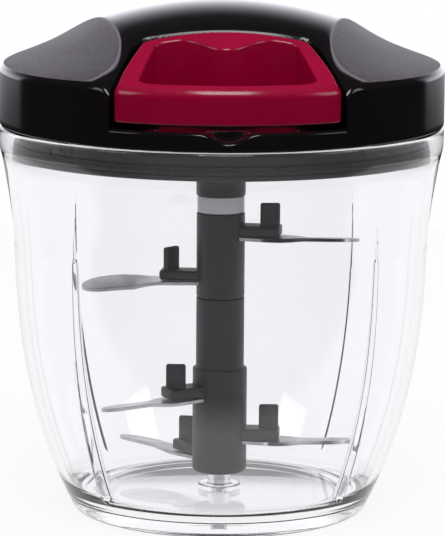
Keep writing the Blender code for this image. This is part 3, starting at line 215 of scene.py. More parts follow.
section += eased([(wall_radius(0.0022), 0.0020, 0), (0.0432, 0.0, 0.0018), (0.0367, 0.0, 0.0006),
                  (0.0347, 0.0020, 0.0006), (0.0, 0.0020, 0)])[1:]
bowl = spun("clear_bowl", section, 160)
for compass, size in ((-45.5, 1.25), (46.0, 1.1), (134.0, 0.7), (-131.5, 0.7)):
    foot = 0.0100 - 0.0020 * np.cos(np.linspace(0.0, math.pi / 2, 8))
    heights = np.concatenate([foot, np.linspace(0.0100, 0.0795, 28)[1:], [0.0800, 0.0804, 0.0807, 0.0809, 0.0855, 0.0908]])
    radii = np.concatenate([0.0019 * np.maximum(np.sin(np.linspace(0.0, math.pi / 2, 8)), 0.05),
                            0.0019 - 0.0009 * np.linspace(0.0, 1.0, 28)[1:] ** 1.5,
                            [0.00095, 0.00085, 0.0007, 0.00055, 0.00030, 0.00004]]) * size
    path = [(*around(wall_radius(z) - 0.0024 + 0.3 * r, compass), z) for z, r in zip(heights, radii)]
    fit_in(bowl, drawn("stirring_rib", tube_loops(path, radii, 20)), "UNION")

bpy.ops.object.select_all(action="DESELECT")
bpy.ops.mesh.primitive_cylinder_add(vertices=56, radius=0.0016, depth=0.0020)
mark = bpy.context.object
mark.scale = (2.0, 1.0, 1.0)
mark.rotation_euler = (math.pi / 2, 0.0, math.radians(-46.5))
mark.location = (*around(0.0656, -46.5), 0.1116)
bpy.ops.object.transform_apply(location=True, rotation=True, scale=True)
fit_in(bowl, mark, "DIFFERENCE")

# Clear SAN from a polished mould lets the white room through with a faint cool tint; its index bends the
# room into the grey lines along the wall's edges, and moulding leaves a very slight waviness.
clear_san, tree, place = new_finish("moulded_clear_san")
wave = add_node(tree, "ShaderNodeTexNoise", {"Vector": place, "Scale": 38.0, "Detail": 1.0})
wave_bump = add_node(tree, "ShaderNodeBump", {"Height": wave.outputs["Fac"], "Strength": 0.03, "Distance": 0.0004})
scuff = add_node(tree, "ShaderNodeTexNoise", {"Vector": place, "Scale": 900.0, "Detail": 4.0})
scuff_rough = add_node(tree, "ShaderNodeMapRange", {"Value": scuff.outputs["Fac"], "From Min": 0.55, "From Max": 0.8,
                                                    "To Min": 0.01, "To Max": 0.05})
skin = add_node(tree, "ShaderNodeBsdfPrincipled", {
    "Base Color": linear("FEFDFF"), "Transmission Weight": 1.0, "IOR": 1.53,
    "Roughness": scuff_rough.outputs["Result"], "Normal": wave_bump.outputs["Normal"]})
add_node(tree, "ShaderNodeOutputMaterial", {"Surface": skin.outputs["BSDF"]})
mount(bowl, clear_san, "bowl", "bowl", 30.0)


# Pivot pin
# A ground stainless pin is pressed into the bowl's boss, and the rotor turns on its rounded top.

pin = spun("rotor_pivot_pin", eased([(0.0, 0.0258, 0), (0.0016, 0.0258, 0.0008), (0.0016, 0.0038, 0.0002),
                                     (0.0, 0.0038, 0)]), 48)
# Ground steel shows fine rings round the pin, which stretch its highlights.
ground_steel, tree, place = new_finish("ground_stainless_steel")
stretch = add_node(tree, "ShaderNodeMapping", {"Vector": place, "Scale": (40.0, 40.0, 4200.0)})
rings = add_node(tree, "ShaderNodeTexNoise", {"Vector": stretch.outputs["Vector"], "Scale": 1.0, "Detail": 3.0})
ring_rough = add_node(tree, "ShaderNodeMapRange", {"Value": rings.outputs["Fac"], "To Min": 0.16, "To Max": 0.34})
ring_bump = add_node(tree, "ShaderNodeBump", {"Height": rings.outputs["Fac"], "Strength": 0.25, "Distance": 0.00005})
skin = add_node(tree, "ShaderNodeBsdfPrincipled", {
    "Base Color": linear("C9CACD"), "Metallic": 1.0, "Roughness": ring_rough.outputs["Result"],
    "Normal": ring_bump.outputs["Normal"]})
add_node(tree, "ShaderNodeOutputMaterial", {"Surface": skin.outputs["BSDF"]})
mount(pin, ground_steel, "bowl", "pivot_pin")


# Rotor shafts
# The two halves of the rotor's shaft are moulded in black polypropylene and plug into each other with a
# hexagon. Each blade's root is held in a slot under a moulded arm, with an upright paddle on the arm.

stations = ((80.0, 0.897, -7.0, 10.0), (-98.0, 0.715, -14.0, 55.0), (-64.0, 0.278, 8.0, -30.0),
            (84.0, 0.110, -7.0, 5.0), (-142.0, 0.028, 8.0, 40.0))


def block(name, size, centre, turn, edge):
    """Moulded block with rounded edges."""
    bpy.ops.object.select_all(action="DESELECT")
    bpy.ops.mesh.primitive_cube_add(size=1.0)
    piece = bpy.context.object
    piece.name = name
    bpy.ops.object.mode_set(mode="EDIT")
    bpy.ops.mesh.select_all(action="SELECT")
    bpy.ops.transform.resize(value=size)
    if edge:
        bpy.ops.mesh.bevel(offset=edge, segments=3)
    bpy.ops.object.mode_set(mode="OBJECT")
    piece.location = centre
    piece.rotation_euler = (0.0, 0.0, turn)
    bpy.ops.object.transform_apply(location=True, rotation=True, scale=True)
    return piece


def column(name, radius, bottom, top, sides=48, turn=0.0, place=(0.0, 0.0)):
    """Round or many-sided column."""
    bpy.ops.object.select_all(action="DESELECT")
    bpy.ops.mesh.primitive_cylinder_add(vertices=sides, radius=radius, depth=top - bottom,
                                        location=(*place, (bottom + top) / 2.0), rotation=(0.0, 0.0, turn))
    bpy.ops.object.transform_apply(location=True, rotation=True, scale=True)
    piece = bpy.context.object
    piece.name = name
    return piece


rotor_foot, rotor_head, rotor_joint = 0.0104, 0.0887, 0.0626
hex_turn = math.radians(3.75)
lower = spun("lower_rotor_shaft", eased([
    (0.0, rotor_joint, 0), (0.0071, rotor_joint, 0.0004), (0.0071, 0.0415, 0.0004),
    (0.00805, 0.0415, 0.0005), (0.00805, rotor_foot, 0.0014), (0.00178, rotor_foot, 0.0002),
    (0.00178, 0.0261, 0), (0.0, 0.0261, 0)]), 72)
fit_in(lower, column("hexagon_plug", 0.0042, 0.0590, 0.0706, 6, hex_turn), "UNION")
upper = spun("upper_rotor_shaft", eased([
    (0.0, rotor_head, 0), (0.0071, rotor_head, 0.0004), (0.0071, rotor_joint + 0.0003, 0.0004),
    (0.0, rotor_joint + 0.0003, 0)]), 72)
for number, (compass, share, twist, paddle_turn) in enumerate(stations, start=1):
    shaft = lower if number > 2 else upper
    level = rotor_foot + (rotor_head - rotor_foot) * share
    turn = math.radians(compass - 90.0)
    base = level + 0.0013
    fit_in(shaft, block("arm", (0.0178, 0.0076, 0.0032), (*around(0.0089, compass), base + 0.0016), turn, 0.0007),
           "UNION")
    fit_in(shaft, block("paddle", (0.0058, 0.0018, 0.0094), (*around(0.0146, compass), base + 0.0055),
                        turn + math.radians(paddle_turn), 0.0007), "UNION")
    fit_in(shaft, block("root_slot", (0.01515, 0.0076, 0.0016), (*around(0.0127, compass), level + 0.0005),
                        turn, 0.0), "DIFFERENCE")
fit_in(upper, column("hexagon_socket", 0.0045, 0.0586, 0.0709, 6, hex_turn), "DIFFERENCE")
fit_in(upper, column("drive_socket", 0.0039, 0.0801, 0.0927, 6, hex_turn), "DIFFERENCE")

# Polypropylene from a lightly sparked mould is nearly black with a soft wide sheen and a fine grain of
# about 0.3 mm, drawn at 0.5 mm so that it shows.
satin_pp, tree, place = new_finish("moulded_black_polypropylene")
grain = add_node(tree, "ShaderNodeTexNoise", {"Vector": place, "Scale": 2000.0, "Detail": 3.0, "Roughness": 0.6})
cloud = add_node(tree, "ShaderNodeTexNoise", {"Vector": place, "Scale": 90.0, "Detail": 2.0})
tint = add_node(tree, "ShaderNodeValToRGB", {"Fac": cloud.outputs["Fac"]})
tint.color_ramp.elements[0].color = linear("0D0C0E")
tint.color_ramp.elements[1].color = linear("1A181B")
grain_rough = add_node(tree, "ShaderNodeMapRange", {"Value": grain.outputs["Fac"], "To Min": 0.34, "To Max": 0.56})
grain_bump = add_node(tree, "ShaderNodeBump", {"Height": grain.outputs["Fac"], "Strength": 0.35, "Distance": 0.00006})
skin = add_node(tree, "ShaderNodeBsdfPrincipled", {
    "Base Color": tint.outputs["Color"], "IOR": 1.49, "Roughness": grain_rough.outputs["Result"],
    "Normal": grain_bump.outputs["Normal"]})
add_node(tree, "ShaderNodeOutputMaterial", {"Surface": skin.outputs["BSDF"]})
mount(lower, satin_pp, "blade_unit", "shaft_lower")
mount(upper, satin_pp, "blade_unit", "shaft_upper")


# Blades
# Five sickle blades are stamped from 1 mm stainless sheet, bent up or down at the neck and ground on
# one side of their cutting edge. Each root is snapped into its slot in the shaft.

def blade_section(share, slope):
    """Section across a blade along +X, with its ground bevel and slightly broken corners."""
    x = 0.0054 + 0.0351 * share
    grow = min(share / 0.34, 1.0)
    width = 0.0070 + 0.0030 * grow * grow * (3 - 2 * grow)
    close = max(0.0, (share - 0.78) / 0.22) * 0.99
    half = width / 2.0 * math.sqrt(1.0 - close * close)
    past = max(share - 0.34, 0.0) / 0.66
    middle = 0.0050 * past * past
    grind = 0.0026 * min(max(share / 0.34 - 0.5, 0.0), 1.0) * min(1.0, (1.0 - share) * 2.0)
    turn = slope * min(past / 0.33, 1.0) ** 1.5
    broken = 0.00008
    corners = ((middle - half + broken, 0.0), (middle + half - broken, 0.0), (middle + half, broken),
               (middle + half, 0.0010 - broken), (middle + half - broken, 0.0010),
               (middle - half + grind + 2 * broken, 0.0010), (middle - half + grind, 0.00097),
               (middle - half, broken))
    return [(x, y, side + turn * y) for y, side in corners]


# Stamped sheet keeps its rolling grain along the blade; the ground bevel is brighter and streaked
# across, and the flats are a duller grey.
blade_steel, tree, place = new_finish("stamped_stainless_sheet")
across = add_node(tree, "ShaderNodeMapping", {"Vector": place, "Scale": (260.0, 260.0, 2600.0)})
streak = add_node(tree, "ShaderNodeTexNoise", {"Vector": across.outputs["Vector"], "Scale": 3.0, "Detail": 4.0})
smear = add_node(tree, "ShaderNodeTexNoise", {"Vector": place, "Scale": 160.0, "Detail": 3.0})
steel_tint = add_node(tree, "ShaderNodeValToRGB", {"Fac": smear.outputs["Fac"]})
steel_tint.color_ramp.elements[0].position = 0.3
steel_tint.color_ramp.elements[0].color = linear("9D9DA1")
steel_tint.color_ramp.elements[1].position = 0.75
steel_tint.color_ramp.elements[1].color = linear("C6C6C9")
streak_rough = add_node(tree, "ShaderNodeMapRange", {"Value": streak.outputs["Fac"], "To Min": 0.20, "To Max": 0.42})
streak_bump = add_node(tree, "ShaderNodeBump", {"Height": streak.outputs["Fac"], "Strength": 0.2, "Distance": 0.00004})
skin = add_node(tree, "ShaderNodeBsdfPrincipled", {
    "Base Color": steel_tint.outputs["Color"], "Metallic": 1.0, "Roughness": streak_rough.outputs["Result"],
    "Normal": streak_bump.outputs["Normal"]})
add_node(tree, "ShaderNodeOutputMaterial", {"Surface": skin.outputs["BSDF"]})

for number, (compass, share, twist, paddle_turn) in enumerate(stations, start=1):
    slope = math.tan(math.radians(twist))
    turn = math.radians(compass - 90.0)
    level = rotor_foot + (rotor_head - rotor_foot) * share
    loops = []
    for s in 1.0 - (1.0 - np.linspace(0.0, 1.0, 64)) ** 1.35:
        loops.append([(x * math.cos(turn) - y * math.sin(turn), x * math.sin(turn) + y * math.cos(turn), z + level)
                      for x, y, z in blade_section(s, slope)])
    blade = drawn("sickle_blade_%d" % number, loops)
    mount(blade, blade_steel, "blade_unit", "blade_%d" % number, 20.0)


# One-way drive
# A light grey acetal coupler turns the rotor with a hexagon. Above it, out of sight in the lid, two
# sprung steel pawls on the drum catch a stamped ratchet wheel when the cord is pulled.

coupler = spun("drive_coupler_moulding", eased([
    (0.0, 0.1090, 0), (0.00482, 0.1090, 0.0002), (0.00482, 0.0943, 0.0002), (0.0069, 0.0943, 0.0003),
    (0.0069, 0.0890, 0.0003), (0.0, 0.0890, 0)]), 72)
fit_in(coupler, column("drive_hexagon", 0.0036, 0.0807, 0.0910, 6, hex_turn), "UNION")
fit_in(coupler, column("clutch_screw_hole", 0.0015, 0.0993, 0.1130, 24, 0.05), "DIFFERENCE")

# Acetal is a milky light grey with a waxy sheen and a little light inside it.
acetal, tree, place = new_finish("moulded_grey_acetal")
milk = add_node(tree, "ShaderNodeTexNoise", {"Vector": place, "Scale": 240.0, "Detail": 3.0})
milk_tint = add_node(tree, "ShaderNodeValToRGB", {"Fac": milk.outputs["Fac"]})
milk_tint.color_ramp.elements[0].color = linear("DAD8DC")
milk_tint.color_ramp.elements[1].color = linear("F0EFF1")
milk_rough = add_node(tree, "ShaderNodeMapRange", {"Value": milk.outputs["Fac"], "To Min": 0.28, "To Max": 0.42})
milk_bump = add_node(tree, "ShaderNodeBump", {"Height": milk.outputs["Fac"], "Strength": 0.1, "Distance": 0.00005})
skin = add_node(tree, "ShaderNodeBsdfPrincipled", {
    "Base Color": milk_tint.outputs["Color"], "IOR": 1.48, "Roughness": milk_rough.outputs["Result"],
    "Subsurface Weight": 0.15, "Subsurface Scale": 0.002, "Normal": milk_bump.outputs["Normal"]})
add_node(tree, "ShaderNodeOutputMaterial", {"Surface": skin.outputs["BSDF"]})
mount(coupler, acetal, "spool", "drive_coupler")


def dress(names, finish):
    """Gives CAD nodes that keep their shape a finish."""
    for name in names:
        for place in nodes[name].material_slots:
            place.material = finish


dress(["ratchet_wheel", "pawl_1", "pawl_2"], blade_steel)


# Lid base and seal
# The lid's base is a satin black polypropylene moulding: a skirt that plugs into the bowl, a collar round
# the drive, and four lugs. A black silicone ring sits in the skirt's groove and grips the bowl's rim.

lid_base = spun("lid_base_moulding", eased([
    (0.0624, 0.1170, 0.0003), (0.0624, 0.1148, 0), (0.0606, 0.1148, 0), (0.0606, 0.1108, 0),
    (0.0593, 0.1108, 0.0002), (0.0593, 0.1078, 0.0002), (0.0606, 0.1078, 0), (0.0606, 0.1067, 0.0009),
    (0.0575, 0.1067, 0.0006), (0.0572, 0.1070, 0.0003), (0.0110, 0.1070, 0.0004), (0.0107, 0.1067, 0.0003),
    (0.0072, 0.1067, 0.0008), (0.0072, 0.0946, 0.0006), (0.0050, 0.0946, 0.0003), (0.0050, 0.1090, 0),
    (0.0575, 0.1090, 0.0008), (0.0575, 0.1170, 0.0003)], 4), 144)
for k in range(4):
    compass = -48.0 + 90.0 * k
    lug = block("lug", (0.0088, 0.0031, 0.0029), (*around(0.05945, compass), 0.11255), math.radians(compass), 0.0006)
    fit_in(lid_base, lug, "UNION")
screw_angles = (72.0, 140.0, -140.0, -72.0)
for compass in screw_angles:
    spot = around(0.0460, compass)
    fit_in(lid_base, column("screw_hole", 0.00158, 0.1020, 0.1130, 32, 0.05, spot), "DIFFERENCE")
    fit_in(lid_base, column("screw_counterbore", 0.0031, 0.1020, 0.1082, 48, 0.05, spot), "DIFFERENCE")
mount(lid_base, satin_pp, "lid", "lid_base")

seal = spun("silicone_lid_seal", eased([
    (0.06105, 0.1101, 0.0004), (0.0604, 0.1094, 0.0003), (0.0611, 0.1088, 0.0004), (0.0605, 0.1081, 0.0003),
    (0.0597, 0.1081, 0.0003), (0.0597, 0.1105, 0.0003), (0.0606, 0.1105, 0.0003)], 4), 144)
# Silicone rubber is soft black, takes no sharp highlight and carries a trace of dust.
silicone, tree, place = new_finish("moulded_silicone_rubber")
dust = add_node(tree, "ShaderNodeTexNoise", {"Vector": place, "Scale": 700.0, "Detail": 5.0})
dust_tint = add_node(tree, "ShaderNodeValToRGB", {"Fac": dust.outputs["Fac"]})
dust_tint.color_ramp.elements[0].position = 0.4
dust_tint.color_ramp.elements[0].color = linear("1B191B")
dust_tint.color_ramp.elements[1].position = 0.9
dust_tint.color_ramp.elements[1].color = linear("39363A")
dust_bump = add_node(tree, "ShaderNodeBump", {"Height": dust.outputs["Fac"], "Strength": 0.3, "Distance": 0.00005})
skin = add_node(tree, "ShaderNodeBsdfPrincipled", {
    "Base Color": dust_tint.outputs["Color"], "IOR": 1.41, "Roughness": 0.62, "Normal": dust_bump.outputs["Normal"]})
add_node(tree, "ShaderNodeOutputMaterial", {"Surface": skin.outputs["BSDF"]})
mount(seal, silicone, "lid", "lid_seal")


# Screws
# Slotted pan screws in stainless steel hold the base to the cover from below; one holds the drum with
# its washer on the cover's post, and one the ratchet wheel on the coupler.

def screw(name, place, head_bottom, flip, body, node):
    """Slotted pan screw: turned from its half section, with the driver slot milled across its head."""
    reach = 0.0125 if not flip else 0.0125
    outline = eased([(0.0, reach, 0), (0.0014, reach, 0.0006), (0.0014, 0.0015, 0.0001), (0.0028, 0.0015, 0.0001),
                     (0.0028, 0.0, 0.0008), (0.0, 0.0, 0)], 5)
    piece = spun(name, outline, 48)
    fit_in(piece, block("driver_slot", (0.0080, 0.0008, 0.0014), (0.0, 0.0, 0.0), 0.35, 0.0), "DIFFERENCE")
    bpy.ops.object.select_all(action="DESELECT")
    piece.select_set(True)
    bpy.context.view_layer.objects.active = piece
    if flip:
        piece.rotation_euler = (math.pi, 0.0, 0.0)
    piece.location = (*place, head_bottom)
    bpy.ops.object.transform_apply(location=True, rotation=True, scale=True)
    return mount(piece, ground_steel, body, node)


for number, compass in enumerate(screw_angles, start=1):
    screw("base_screw_%d" % number, around(0.0460, compass), 0.1064, False, "lid", "housing_screw_%d" % number)
dress(["spool_screw", "spool_washer", "clutch_screw"], ground_steel)


# Lid cover
# The domed cover is one glossy black ABS moulding. Two finger scoops with a spark-eroded grain are sunk
# into its sides, and a dish leads down to the pocket for the handle, whose front lip dips for a thumb.

def scoop_share(x, y):
    """Distance from a scoop's middle as a share of its outline."""
    along = (y + 0.0080) / 0.0440
    across = (np.abs(x) - 0.0520 - 0.0088 * along) / 0.0190
    return (np.abs(along) ** 3.0 + np.abs(across) ** 3.0) ** (1.0 / 3.0)


def pocket_distance(x, y):
    """Distance outside the pocket's rounded outline in plan, below zero inside it."""
    rear = y + 0.0316 + 0.0040
    side = (np.abs(x) - 0.0256 + 0.3008 * (y + 0.0316)) * 0.9576 + 0.0040
    both = (rear > 0.0) & (side > 0.0)
    return np.where(both, np.hypot(rear, side), np.maximum(rear, side)) - 0.0040


def dome(x, y):
    return 0.1505 - (x * x + y * y) / 0.230


def cover_top(x, y):
    """Height of the cover's top face with its scoops, dish and the rounded edge of the pocket."""
    r = np.hypot(x, y)
    scoop = 0.0050 * (1.0 - scoop_share(x, y) ** 2) * (1.0 - np.minimum(r / 0.0665, 1.0) ** 6.0)
    dish_share = (np.abs(x / 0.0370) ** 4.0 + np.abs((y + 0.0600) / 0.0315) ** 4.0) ** 0.25
    dish = 0.0022 * (1.0 - dish_share ** 2)
    sunk = np.maximum(scoop, dish)
    sunk = (sunk + np.sqrt(sunk * sunk + 0.00025 ** 2)) / 2.0
    inward = np.clip(0.0034 - pocket_distance(x, y), 0.0, 0.0034)
    return dome(x, y) - sunk - (0.0040 - np.sqrt(0.0040 ** 2 - inward ** 2))


def polar_rows(radii, count, height):
    """Rows of points round Z at each radius, raised to a height."""
    turns = np.arange(count) * math.tau / count
    rows = []
    for r in radii:
        x, y = r * np.cos(turns), r * np.sin(turns)
        rows.append(np.stack([x, y, np.broadcast_to(height(x, y), x.shape)], axis=1))
    return rows


radii = np.concatenate([np.linspace(0.0, 0.0280, 30), np.linspace(0.0280, 0.0634, 106)[1:]])
rows = polar_rows(radii, 520, cover_top)
for angle in np.linspace(0.0, math.pi / 2, 8)[1:]:
    r = 0.0634 + 0.0016 * math.sin(angle)
    fall = 0.0016 * (1.0 - math.cos(angle))
    rows += polar_rows([r], 520, lambda x, y: cover_top(x, y) - fall)
for level in np.linspace(0.1240, 0.1153, 7):
    rows += polar_rows([0.0650], 520, lambda x, y: level + 0.0 * x)
rows += polar_rows([0.0649, 0.0646], 520, lambda x, y: 0.1149 + 0.0 * x)
rows[-1][:, 2] = 0.1148
rows += polar_rows([0.0300, 0.0], 520, lambda x, y: 0.1148 + 0.0 * x)
cover = drawn("lid_cover_moulding", [[tuple(p) for p in row] for row in rows])


def pocket_bound(radii, grow):
    """Compass half angle at which each circle round Z leaves the pocket's outline, grown by a wall."""
    near, far = np.zeros(len(radii)), np.full(len(radii), 1.2)
    for _ in range(40):
        middle = (near + far) / 2.0
        out = pocket_distance(radii * np.sin(middle), -radii * np.cos(middle)) > grow
        far = np.where(out, middle, far)
        near = np.where(out, near, middle)
    return near


def pocket_floor(x, y):
    """Height of the pocket's floor, whose lip is rounded and dips for a thumb."""
    r = np.hypot(x, y)
    ramp = np.clip((r - 0.0585) / 0.0050, 0.0, 1.0)
    ramp = ramp * ramp * (3.0 - 2.0 * ramp)
    dip = 0.0027 * (0.5 + 0.5 * np.cos(math.pi * np.clip(np.abs(x) / 0.0084, 0.0, 1.0))) * ramp
    lip = np.clip(r - 0.0638, 0.0, 0.0012) * 0.96
    return 0.1202 - dip - (0.0012 - np.sqrt(0.0012 ** 2 - lip ** 2))


def pocket_rows(grow, radii, count, floor):
    """Loops across the pocket on circles round Z: along its floor, up a side and back above the dome."""
    rear = 0.0316 - grow
    first = np.sqrt(rear ** 2 + np.linspace(0.0, 0.0214, 22) ** 2)
    radii = np.concatenate([first, np.linspace(first[-1], 0.0450, 20)[1:], radii])
    loops = []
    for r, half in zip(radii, pocket_bound(radii, grow)):
        turns = np.linspace(-half, half, count)
        x, y = r * np.sin(turns), -r * np.cos(turns)
        if r > 0.0690:
            y = np.full(x.shape, -0.0700)
        low = [(a, b, c) for a, b, c in zip(x, y, floor(x, y))]
        loops.append(low + [(a, b, 0.1580) for a, b in zip(x[::-1], y[::-1])])
    return loops


pocket = drawn("pocket_space", pocket_rows(0.0, np.concatenate([
    np.linspace(0.0450, 0.0580, 14)[1:], np.linspace(0.0580, 0.0638, 12)[1:], np.linspace(0.0638, 0.0650, 9)[1:],
    [0.0660, 0.0695]]), 140, pocket_floor))
for side in (-1, 1):
    rail = block("slide_rail", (0.0020, 0.0190, 0.0030), (side * 0.0200, -0.0405, 0.1202), 0.0, 0.0005)
    fit_in(pocket, rail, "DIFFERENCE")
fit_in(cover, pocket, "DIFFERENCE")

rows = polar_rows(np.linspace(0.0, 0.0627, 34), 96, lambda x, y: cover_top(x, y) - 0.0023)
rows += polar_rows([0.0627, 0.0], 96, lambda x, y: 0.1105 + 0.0 * x)
hollow = drawn("cover_hollow", [[tuple(p) for p in row] for row in rows])
wall = pocket_rows(0.0023, np.array([0.0560, 0.0660, 0.0695]), 40, lambda x, y: np.full(x.shape, 0.1179))
fit_in(hollow, drawn("pocket_wall", wall), "DIFFERENCE")
fit_in(hollow, block("lip_wall", (0.0198, 0.0113, 0.0030), (0.0, -0.06135, 0.1188), 0.0, 0.0), "DIFFERENCE")
for compass in screw_angles:
    fit_in(hollow, column("screw_boss", 0.0038, 0.1093, 0.1520, 32, 0.05, around(0.0460, compass)), "DIFFERENCE")
fit_in(hollow, column("drum_post", 0.0035, 0.1190, 0.1520, 32, 0.05), "DIFFERENCE")
fit_in(cover, hollow, "DIFFERENCE")
for compass in screw_angles:
    fit_in(cover, column("screw_bore", 0.0015, 0.1067, 0.1192, 24, 0.02, around(0.0460, compass)), "DIFFERENCE")
fit_in(cover, column("post_bore", 0.0015, 0.1150, 0.1300, 24, 0.02), "DIFFERENCE")
bpy.ops.object.select_all(action="DESELECT")
bpy.ops.mesh.primitive_cylinder_add(vertices=40, radius=0.0027, depth=0.0103,
                                    location=(0.0, -0.03045, 0.1272), rotation=(math.pi / 2, 0.03, 0.0))
bpy.ops.object.transform_apply(location=True, rotation=True, scale=True)
fit_in(cover, bpy.context.object, "DIFFERENCE")

spots = np.empty(len(cover.data.vertices) * 3, dtype=np.float32)
cover.data.vertices.foreach_get("co", spots)
spots = spots.reshape(-1, 3)
reach = np.hypot(spots[:, 0], spots[:, 1])
grained = np.maximum(scoop_share(spots[:, 0], spots[:, 1]), 1.0 + (reach - 0.0637) / 0.004)
grained = np.where(spots[:, 2] < 0.1240, 2.0, grained)
cover.data.attributes.new("scoop_share", "FLOAT", "POINT").data.foreach_set("value", grained.astype(np.float32))

# Polished ABS is deep black and mirrors the room; the sunk scoops were spark-eroded in the mould, so they
# are dull charcoal with a pale speckle of about 0.4 mm, and a thin painted highlight line is laid along their rim.
gloss_abs, tree, place = new_finish("moulded_gloss_black_abs")
share = add_node(tree, "ShaderNodeAttribute", attribute_name="scoop_share").outputs["Fac"]
inside = add_node(tree, "ShaderNodeMapRange", {"Value": share, "From Min": 0.975, "From Max": 1.0,
                                               "To Min": 1.0, "To Max": 0.0})
# Painted highlight: a thin pale band mixed into the colour just inside each scoop's rim stands in for light caught by
# the rim.
edge = add_node(tree, "ShaderNodeMapRange", {"Value": share, "From Min": 0.955, "From Max": 0.985,
                                             "To Min": 0.0, "To Max": 1.0})
painted_rim_highlight_line = add_node(tree, "ShaderNodeMath", {0: edge.outputs["Result"], 1: inside.outputs["Result"]},
                     operation="MULTIPLY")
speck = add_node(tree, "ShaderNodeTexNoise", {"Vector": place, "Scale": 2300.0, "Detail": 2.0, "Roughness": 0.7})
speck_tint = add_node(tree, "ShaderNodeValToRGB", {"Fac": speck.outputs["Fac"]})
speck_tint.color_ramp.elements[0].position = 0.38
speck_tint.color_ramp.elements[0].color = linear("333035")
speck_tint.color_ramp.elements[1].position = 0.72
speck_tint.color_ramp.elements[1].color = linear("7B757F")
# The speckle colour, with the painted rim highlight line mixed in as 8E8890.
speck_and_painted_highlight_tint = add_node(tree, "ShaderNodeMixRGB", {"Fac": painted_rim_highlight_line.outputs["Value"], "Color1": speck_tint.outputs["Color"],
                                               "Color2": linear("8E8890")})
swirl = add_node(tree, "ShaderNodeTexNoise", {"Vector": place, "Scale": 60.0, "Detail": 2.0})
gloss_tint = add_node(tree, "ShaderNodeValToRGB", {"Fac": swirl.outputs["Fac"]})
gloss_tint.color_ramp.elements[0].color = linear("0E0B0D")
gloss_tint.color_ramp.elements[1].color = linear("171315")
colour = add_node(tree, "ShaderNodeMixRGB", {"Fac": inside.outputs["Result"], "Color1": gloss_tint.outputs["Color"],
                                             "Color2": speck_and_painted_highlight_tint.outputs["Color"]})
hair = add_node(tree, "ShaderNodeTexNoise", {"Vector": place, "Scale": 450.0, "Detail": 5.0})
gloss_rough = add_node(tree, "ShaderNodeMapRange", {"Value": hair.outputs["Fac"], "To Min": 0.07, "To Max": 0.15})
dull_rough = add_node(tree, "ShaderNodeMapRange", {"Value": speck.outputs["Fac"], "To Min": 0.42, "To Max": 0.62})
rough = add_node(tree, "ShaderNodeMapRange", {"Value": inside.outputs["Result"],
                                              "To Min": gloss_rough.outputs["Result"],
                                              "To Max": dull_rough.outputs["Result"]})
depth = add_node(tree, "ShaderNodeMath", {0: speck.outputs["Fac"], 1: inside.outputs["Result"]}, operation="MULTIPLY")
grain_bump = add_node(tree, "ShaderNodeBump", {"Height": depth.outputs["Value"], "Strength": 0.6, "Distance": 0.00012})
skin = add_node(tree, "ShaderNodeBsdfPrincipled", {
    "Base Color": colour.outputs["Color"], "IOR": 1.54, "Roughness": rough.outputs["Result"],
    "Normal": grain_bump.outputs["Normal"]})
add_node(tree, "ShaderNodeOutputMaterial", {"Surface": skin.outputs["BSDF"]})
mount(cover, gloss_abs, "lid", "lid_cover", 34.0)
weigh = cover.modifiers.new("weighted", "WEIGHTED_NORMAL")
weigh.keep_sharp = True
bpy.ops.object.modifier_apply(modifier=weigh.name)


# Cord drum and mainspring
# Inside the lid an acetal drum takes the cord between two flanges. The cup on top of it holds a flat
# spiral mainspring of blue steel, hooked to the post, under a thin steel cover plate.

dress(["cord_spool"], acetal)
# Rolled spring steel keeps a blue temper colour that drifts along the strip.
spring_steel, tree, place = new_finish("rolled_blue_spring_steel")
drift = add_node(tree, "ShaderNodeTexNoise", {"Vector": place, "Scale": 120.0, "Detail": 2.0})
drift_tint = add_node(tree, "ShaderNodeValToRGB", {"Fac": drift.outputs["Fac"]})
drift_tint.color_ramp.elements[0].color = linear("4A5568")
drift_tint.color_ramp.elements[1].color = linear("7D828C")
drift_rough = add_node(tree, "ShaderNodeMapRange", {"Value": drift.outputs["Fac"], "To Min": 0.24, "To Max": 0.40})
skin = add_node(tree, "ShaderNodeBsdfPrincipled", {
    "Base Color": drift_tint.outputs["Color"], "Metallic": 1.0, "Roughness": drift_rough.outputs["Result"]})
add_node(tree, "ShaderNodeOutputMaterial", {"Surface": skin.outputs["BSDF"]})
dress(["mainspring"], spring_steel)
dress(["spring_cover"], blade_steel)


# Pull cord
# A white braided nylon cord of 1.8 mm is wound three turns on the drum, leaves through the eyelet in the
# pocket's rear wall, and ends in a knot inside the handle.

cord_level = 0.1272
leave = -math.degrees(math.acos(0.0162 / 0.0281))


winding_path = []
for i in range(3 * 60 + 1):
    winding_path.append((*around(0.0162, leave - 360.0 * i / 60), cord_level - 0.0024 * i / 60))
swell = [0.00088 + 0.00002 * math.cos(i * 2.1) for i in range(len(winding_path))]
winding = drawn("wound_pull_cord", tube_loops(winding_path, swell, 14))

tangent = around(0.0162, leave)
mouth = (0.0, -0.0281)
run = math.hypot(mouth[0] - tangent[0], mouth[1] - tangent[1])
begin = tuple(t + (m - t) * 0.0003 / run for t, m in zip(tangent, mouth))
before = tuple(m + (t - m) * 0.0036 / run for t, m in zip(tangent, mouth))
bend = [tuple((1 - t) ** 2 * a + 2 * t * (1 - t) * b + t * t * c for a, b, c in zip(before, mouth, (0.0, -0.0290)))
        for t in np.linspace(0.0, 1.0, 9)]
straight = [tuple(np.array(begin) + (np.array(before) - np.array(begin)) * t) for t in np.linspace(0.0, 1.0, 16)[:-1]]
tail = [(0.0, y) for y in np.linspace(-0.0290, -0.0360, 15)[1:]]
lead_path = [(*p, cord_level) for p in straight + bend + tail]
lead = drawn("pull_cord_lead", tube_loops(lead_path, [0.0009] * len(lead_path), 14))

